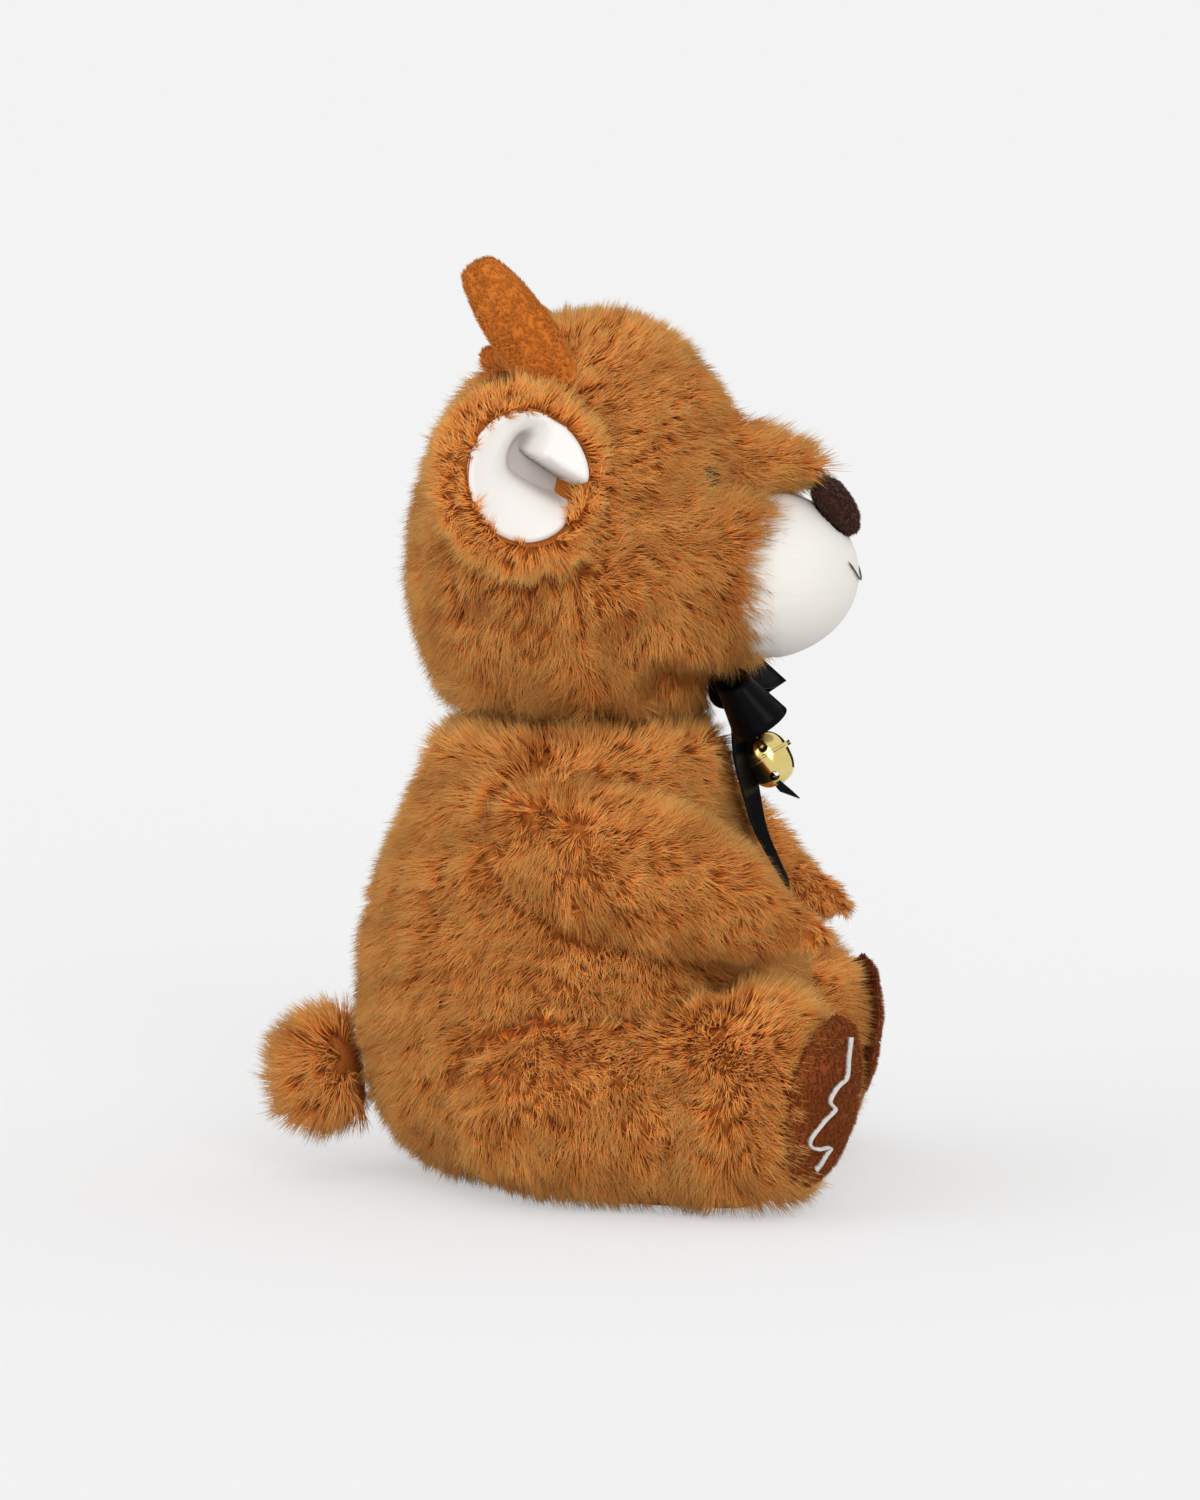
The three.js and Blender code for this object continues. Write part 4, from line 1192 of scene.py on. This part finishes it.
def build_lining(name, side, frame_at):
    rings, spokes = 44, 168
    points = []
    for ring in range(1, rings + 1):
        turn = np.arange(spokes) * 2 * math.pi / spokes
        share = ring / rings * (1 + 0.05 * np.cos(turn - 2.3))
        ahead, up = share * np.cos(turn), share * np.sin(turn)
        height, ahead_slide, up_slide = lining_height(ahead, up)
        height = height - 1.6 * smoothstep(level(spokes, ring / rings), 0.93, 1)
        across = -side * (up + up_slide) * LINING_RADIUS
        local = np.stack([across, -(ahead + ahead_slide) * LINING_RADIUS, height], 1)
        points.append([frame_at @ Vector(p) for p in local])
    hub = sum(points[0], Vector()) / spokes
    points.insert(0, [hub] * spokes)
    piece = sheet_piece(
        "ear_lining_sheet_" + name, "ear_" + name, points,
        LINING, thickness=1.1 * MM, closed=True,
    )
    local, ahead, up = ear_places(points_of(piece.data), frame_at, side)
    # Painted shade for the crease: deep grows with how far the lining lies below its plain bowl, and the
    # lining's material greys the nap by it
    bowl = LINING_LOW + LINING_BOWL * (ahead**2 + up**2) ** 1.1
    deep = smoothstep(bowl - local[:, 2], 1.5, 6) * smoothstep(-np.hypot(ahead, up), -1, -0.7)
    values = deep.astype(np.float32)
    piece.data.attributes.new("deep", "FLOAT", "POINT").data.foreach_set("value", values)
    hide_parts("ear_lining_" + name)


# Muzzle, nose, mouth and eyes


def on_muzzle(x, z):
    """Places on the muzzle's surface, in metres, at acrosses and heights in millimetres"""
    wide, deep, tall = MUZZLE_REACH
    _, back, middle = MUZZLE_CENTRE
    reach = np.sqrt(np.maximum(0, 1 - (x / wide) ** 2 - ((z - middle) / tall) ** 2))
    return np.stack([x, -(-back + (deep + MOUTH_RISE) * reach), z], -1) * MM


def muzzle_shape(points, normals):
    """Outside the head the muzzle is exactly round"""
    centre, reach = np.array(MUZZLE_CENTRE) * MM, np.array(MUZZLE_REACH) * MM
    share = np.linalg.norm((points - centre) / reach, axis=1)
    near = (share > 0.93) & (points[:, 1] < -62 * MM)
    points[near] = centre + (points[near] - centre) / share[near, None] * 0.985
    return points


def build_muzzle():
    cad = ["muzzle_cover", "muzzle_stuffing"]
    piece, _ = stuffed_skin("muzzle", cad, ["head_cover"], **SMALL_SKINS["muzzle"], shape=muzzle_shape)
    finish_piece(piece, "head", MUZZLE)
    x = np.linspace(-MOUTH_REACH, MOUTH_REACH, 33)
    path = on_muzzle(x, MOUTH_LOW + MOUTH_CURVE * (x / MOUTH_REACH) ** 2)
    mouth = finish_piece(tube("mouth", path, 0.3 * MM), "head", DARK_THREAD)
    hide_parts("mouth_stitch")


def build_nose():
    beside = ["muzzle_cover", "head_cover"]
    piece, grows = stuffed_skin("nose_skin", ["nose"], beside, **SMALL_SKINS["nose"])
    finish_piece(piece, "head", NOSE)
    pile = {"density": 7, "length": 1.3 * MM, "material": NOSE_PILE, "slot": "nose_felt", "pile": SHORT_PILE}
    grow("nose_pile", "head", piece, grows, even_flow, **pile)


def build_eyes():
    for name, side in SIDES:
        dome = [(EYE_RADIUS * math.cos(a), EYE_DOME * math.sin(a)) for a in np.linspace(math.pi / 2, 0, 12)]
        dome[0] = (0, EYE_DOME)
        under = [(EYE_RADIUS * 0.93, -0.6 * MM), (EYE_STEM, -0.8 * MM), (EYE_STEM, -5 * MM), (0, -5 * MM)]
        piece = lathe("eye_button_" + name, dome + under, 48)
        out = Vector((side * math.sin(EYE_TURN), -math.cos(EYE_TURN), 0))
        at = place(side * EYE_PLACE[0], *EYE_PLACE[1:]) - out * EYE_RECESS
        moved(piece, Matrix.Translation(at) @ out.to_track_quat("Z", "Y").to_matrix().to_4x4())
        finish_piece(piece, "head", EYE)
        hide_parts("eye_" + name)


# Antlers and soles


def build_antlers():
    for name, side in SIDES:
        cad = ["antler_" + name, "antler_stuffing_" + name]
        piece, grows = stuffed_skin("antler_skin_" + name, cad, ["head_cover"], **SMALL_SKINS["antler"])
        finish_piece(piece, "head", ANTLER_SKIN)
        pile = {"density": 6, "length": 1.9 * MM, "material": ANTLER_PILE, "slot": "antler_plush"}
        grow("antler_pile_" + name, "head", piece, grows, antler_flow, **pile, pile=SHORT_PILE)
        low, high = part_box("antler_" + name)
        stretch = (high.y - low.y) / ANTLER_DEPTH / MM
        across = high.x if side > 0 else low.x
        rise = high.z - ANTLER_TOP
        places = [(across + side * 4 * MM, -f * MM * stretch, z * MM + rise) for f, z in SEAM_PLACES]
        stitches(
            "antler_seam_" + name, "head", path_through(places, 16), skin_tree(piece), 1.2 * MM, 0.2 * MM,
            SEAM_THREAD, rise=1.9 * MM, running=True,
        )


def sole_matrix(side):
    """The sole's own frame, in millimetres: +Z out of the foot"""
    x, y, z = SOLE_PLACE
    centre = Matrix.Translation(Vector((side * x, y, z)))
    turn = Matrix.Rotation(side * SOLE_TURN, 4, "Z") @ Matrix.Rotation(math.pi / 2 + SOLE_TIP, 4, "X")
    return Matrix.Scale(MM, 4) @ centre @ turn


def sole_shape(points, normals):
    """Shallow folds across the lower front of the sole"""
    wave = np.sin((points[:, 2] * 0.8 - points[:, 0] * 0.5) / MM * 0.9)
    low = smoothstep(-points[:, 2], -26 * MM, -12 * MM)
    return points - normals * (0.5 * MM * wave * low)[:, None]


def build_soles():
    wide, tall, bulge = SOLE_REACH
    for name, side in SIDES:
        piece, grows = stuffed_skin(
            "sole_skin_" + name, ["foot_sole_" + name], ["leg_cover_" + name], **SMALL_SKINS["sole"],
            shape=sole_shape,
        )
        finish_piece(piece, "leg_" + name, SOLE)
        pile = {"density": 6, "length": 1.6 * MM, "material": SOLE_PILE, "slot": "sole_plush"}
        grow("sole_pile_" + name, "leg_" + name, piece, grows, even_flow, **pile, pile=SHORT_PILE)
        at = sole_matrix(side)
        corners = []
        for x, y in WAVE_SHARES:
            rise = bulge * math.sqrt(max(0, 1 - x * x - y * y))
            corners.append(at @ Vector((-side * x * wide, y * tall, rise)))
        path = path_through(corners, 230)
        line = stitches(
            "sole_wave_" + name, "leg_" + name, path, skin_tree(piece), 1.9 * MM, 0.26 * MM,
            WHITE_THREAD, rise=1.7 * MM,
        )
        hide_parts("sole_stitch_" + name)


# Ribbon


def strip(path, across, width, steps=9):
    """Rows of points over a ribbon. width is its width at each point of the path."""
    shares = np.linspace(-0.5, 0.5, steps)
    return [[Vector(p + a * w * s) for s in shares] for p, a, w in zip(path, across, width)]


def ribbon_piece(name, rows, closed=False):
    """A run of the black ribbon through these rows of points"""
    return sheet_piece(
        name, "torso", rows, SATIN, RIBBON_THICKNESS, closed
    )


def build_neck_band():
    """The ribbon round the neck, gathered into pleats in the fur"""
    turn = np.linspace(0, 2 * math.pi, 120, endpoint=False)
    rows = []
    for share in np.linspace(0, 1, 17):
        radius = BAND_RADIUS + BAND_PLEAT * math.sin(share * 4 * math.pi)
        height = BAND_LOW + share * BAND_RISE
        rows.append([Vector((radius * math.cos(t), BAND_BACK + radius * math.sin(t), height)) for t in turn])
    piece = ribbon_piece("ribbon_band", rows, closed=True)
    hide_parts("neck_band")


def build_loops(knot):
    """Two loops that stand out from the knot, flare at the edges, and are pinched where they enter it"""
    for name, side in SIDES:
        t = np.linspace(0, 1, 57)
        out = (1 - np.cos(2 * math.pi * t)) / 2
        bulge = LOOP_BULGE * np.sin(2 * math.pi * t) * out**0.6
        along, up_axis = np.array((0, -0.56, -0.83)), np.array((0, -0.83, 0.56))
        start = np.array(knot) + np.array((side * 3.5, 0, 0)) * MM
        set_back = LOOP_SET_BACK * (side > 0)
        end = np.array(place(side * LOOP_REACH, LOOP_FORWARD - set_back, LOOP_HEIGHT + set_back))
        path = start + (end - start) * out[:, None] + up_axis * bulge[:, None]
        pinch = 0.42 + 0.58 * smoothstep(out, 0.0, 0.5)
        rows = strip(path, np.broadcast_to(along, path.shape), RIBBON_WIDTH * pinch)
        for row, swing in zip(rows, bulge):
            for share, point in zip(np.linspace(-0.5, 0.5, len(row)), row):
                point += Vector(up_axis) * float(swing * LOOP_FLARE * 2 * share)
        piece = ribbon_piece("ribbon_loop_" + name, rows)
        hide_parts("bow_loop_" + name)


def build_tails():
    """The right tail hangs lower than the left one. Both twist, and end in a slanted cut."""
    for name, side in SIDES:
        line = TAIL_PLACES[name]
        path = path_through([place(side * x, f, z) for x, f, z in line], 40)
        t = np.linspace(0, 1, len(path))
        turn = TAIL_TWIST * t + TAIL_TURN
        across = np.stack([side * np.cos(turn), np.sin(turn), 0.1 * t], 1)
        way = unit(np.gradient(path, axis=0))
        across = unit(across - way * np.sum(across * way, 1, keepdims=True))
        width = RIBBON_WIDTH * (0.42 + 0.58 * smoothstep(t, 0, 0.35))
        rows = strip(path, across, width)
        cut = np.linspace(-0.5, 0.5, len(rows[0])) * TAIL_CUT
        for i, row in enumerate(rows):
            for j, point in enumerate(row):
                row[j] = point + Vector(way[i]) * float(cut[j] * t[i] ** 3)
        piece = ribbon_piece("ribbon_end_" + name, rows)
        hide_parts("ribbon_tail_" + name)


def build_knot():
    """The ribbon's knot: a rounded band with soft creases up its front"""
    low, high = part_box("bow_knot")
    centre, half = (low + high) / 2, (high - low) / 2
    rows = []
    for a in np.linspace(-math.pi / 2, math.pi / 2, 26):
        row = []
        for b in np.linspace(0, 2 * math.pi, 56, endpoint=False):
            d = np.array((math.cos(a) * math.cos(b), math.cos(a) * math.sin(b), math.sin(a)))
            d = np.sign(d) * np.abs(d) ** 0.72
            crease = 1 - 0.05 * abs(math.sin(b * 4 + a * 0.8)) * math.cos(a)
            row.append(centre + Vector(d * np.array(half)) * crease)
        rows.append(row)
    piece = finish_piece(grid_piece("ribbon_knot", rows, closed=True), "torso", SATIN)
    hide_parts("bow_knot")
    return centre


# Bell


def bell_profile(depth, squareness):
    """Half of the bell: flange and dome with an even wall, from the axis outside to the axis inside"""
    outer, inner = [], []
    for a in np.linspace(math.pi / 2, 0.1, 22):
        r, h = math.cos(a) ** squareness, math.sin(a) ** squareness
        outer.append((BELL_RADIUS * r, depth * h))
        inner.append(((BELL_RADIUS - BELL_WALL) * r, (depth - BELL_WALL) * h))
    outer[0], inner[0] = (0, depth), (0, depth - BELL_WALL)
    flange = [
        (BELL_RADIUS, FLANGE_RISE + 0.1 * MM),
        (FLANGE_RADIUS - 0.1 * MM, FLANGE_RISE),
        (FLANGE_RADIUS, FLANGE_RISE - 0.1 * MM),
        (FLANGE_RADIUS, 0.08 * MM),
        (BELL_RADIUS - BELL_WALL, 0.08 * MM),
    ]
    return outer + flange + inner[::-1]


def bell_matrix():
    return Matrix.Translation(Vector(BELL_PLACE) * MM) @ Matrix.Rotation(-BELL_LEAN, 4, "X")


def cut_away(piece, cutter):
    """Cuts one piece out of another, and drops the cutter"""
    boolean = piece.modifiers.new("cut", "BOOLEAN")
    boolean.object = cutter
    boolean.solver = "EXACT"
    settle(piece)
    bpy.data.objects.remove(cutter)
    return piece


def build_bell():
    at = bell_matrix()
    top = moved(lathe("bell_upper", bell_profile(BELL_RADIUS, 0.94)), at)
    bottom = moved(lathe("bell_lower", bell_profile(BELL_DEPTH, 0.72)), Matrix.Scale(-1, 4, (0, 0, 1)))
    reach = BELL_RADIUS * math.sin(SLOT_ANGLE)
    slot = bmesh.new()
    bmesh.ops.create_cube(slot, size=1)
    bmesh.ops.scale(slot, verts=slot.verts, vec=(reach * 2, SLOT_WIDTH, BELL_DEPTH))
    bmesh.ops.translate(slot, verts=slot.verts, vec=(0, 0, -BELL_DEPTH))
    cut_away(bottom, object_from(slot, "slot"))
    for side in (-1, 1):
        hole = bmesh.new()
        drill = {"cap_ends": True, "segments": 32, "radius1": HOLE_RADIUS, "radius2": HOLE_RADIUS}
        bmesh.ops.create_cone(hole, **drill, depth=BELL_DEPTH)
        turn = Matrix.Rotation(side * SLOT_ANGLE, 4, "Y") @ Matrix.Translation((0, 0, -BELL_DEPTH))
        bmesh.ops.transform(hole, verts=hole.verts, matrix=turn)
        cut_away(bottom, object_from(hole, "hole"))
    moved(bottom, at)
    for piece, node in ((top, "bell_top"), (bottom, "bell_bottom")):
        finish_piece(piece, "bell", BRASS)
        piece.data.set_sharp_from_angle(angle=math.radians(35))
        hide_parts(node)


CARRIED = {
    "eye_washer_right": (WASHER, "washer_plastic"),
    "eye_washer_left": (WASHER, "washer_plastic"),
    "seat_pouch": (BEAN_CLOTH, "fibre"),
    "bell_thread": (SATIN, "black_satin"),
    "bell_ring": (BRASS, "brass"),
    "bell_pellet": (BRASS, "brass"),
}


def finish_carried():
    for name, (material, slot) in CARRIED.items():
        node = nodes[name]
        node.data.materials.clear()
        node.data.materials.append(material)
        shade_smooth(node.data)


def build_floor():
    made = bmesh.new()
    bmesh.ops.create_grid(made, x_segments=1, y_segments=1, size=FLOOR_SIZE)
    floor = object_from(made, "floor")
    floor.data.materials.append(floor_finish())


def add_card(name, centre, size, facing):
    """A dark card that only reflections show"""
    made = bmesh.new()
    bmesh.ops.create_grid(made, x_segments=1, y_segments=1, size=size)
    card = object_from(made, name)
    turn = Vector(facing).to_track_quat("Z", "Y").to_matrix().to_4x4()
    moved(card, Matrix.Translation(centre) @ turn)
    finish = Finish(name)
    finish.surface(Base_Color=srgb(20, 20, 20), Roughness=0.9)
    card.data.materials.append(finish.material)
    for ray in ("camera", "diffuse", "shadow", "transmission", "volume_scatter"):
        setattr(card, "visible_" + ray, False)


scene.view_settings.view_transform = "Standard"
add_camera()
add_world()
add_suns()
build_floor()
add_card("dark_card", **DARK_CARD)
finish_carried()
build_body()
build_head()
build_muzzle()
build_nose()
build_eyes()
build_antlers()
build_ears()
build_arms()
build_legs()
build_soles()
build_tail()
build_neck_band()
knot_centre = build_knot()
build_loops(knot_centre)
build_tails()
build_bell()
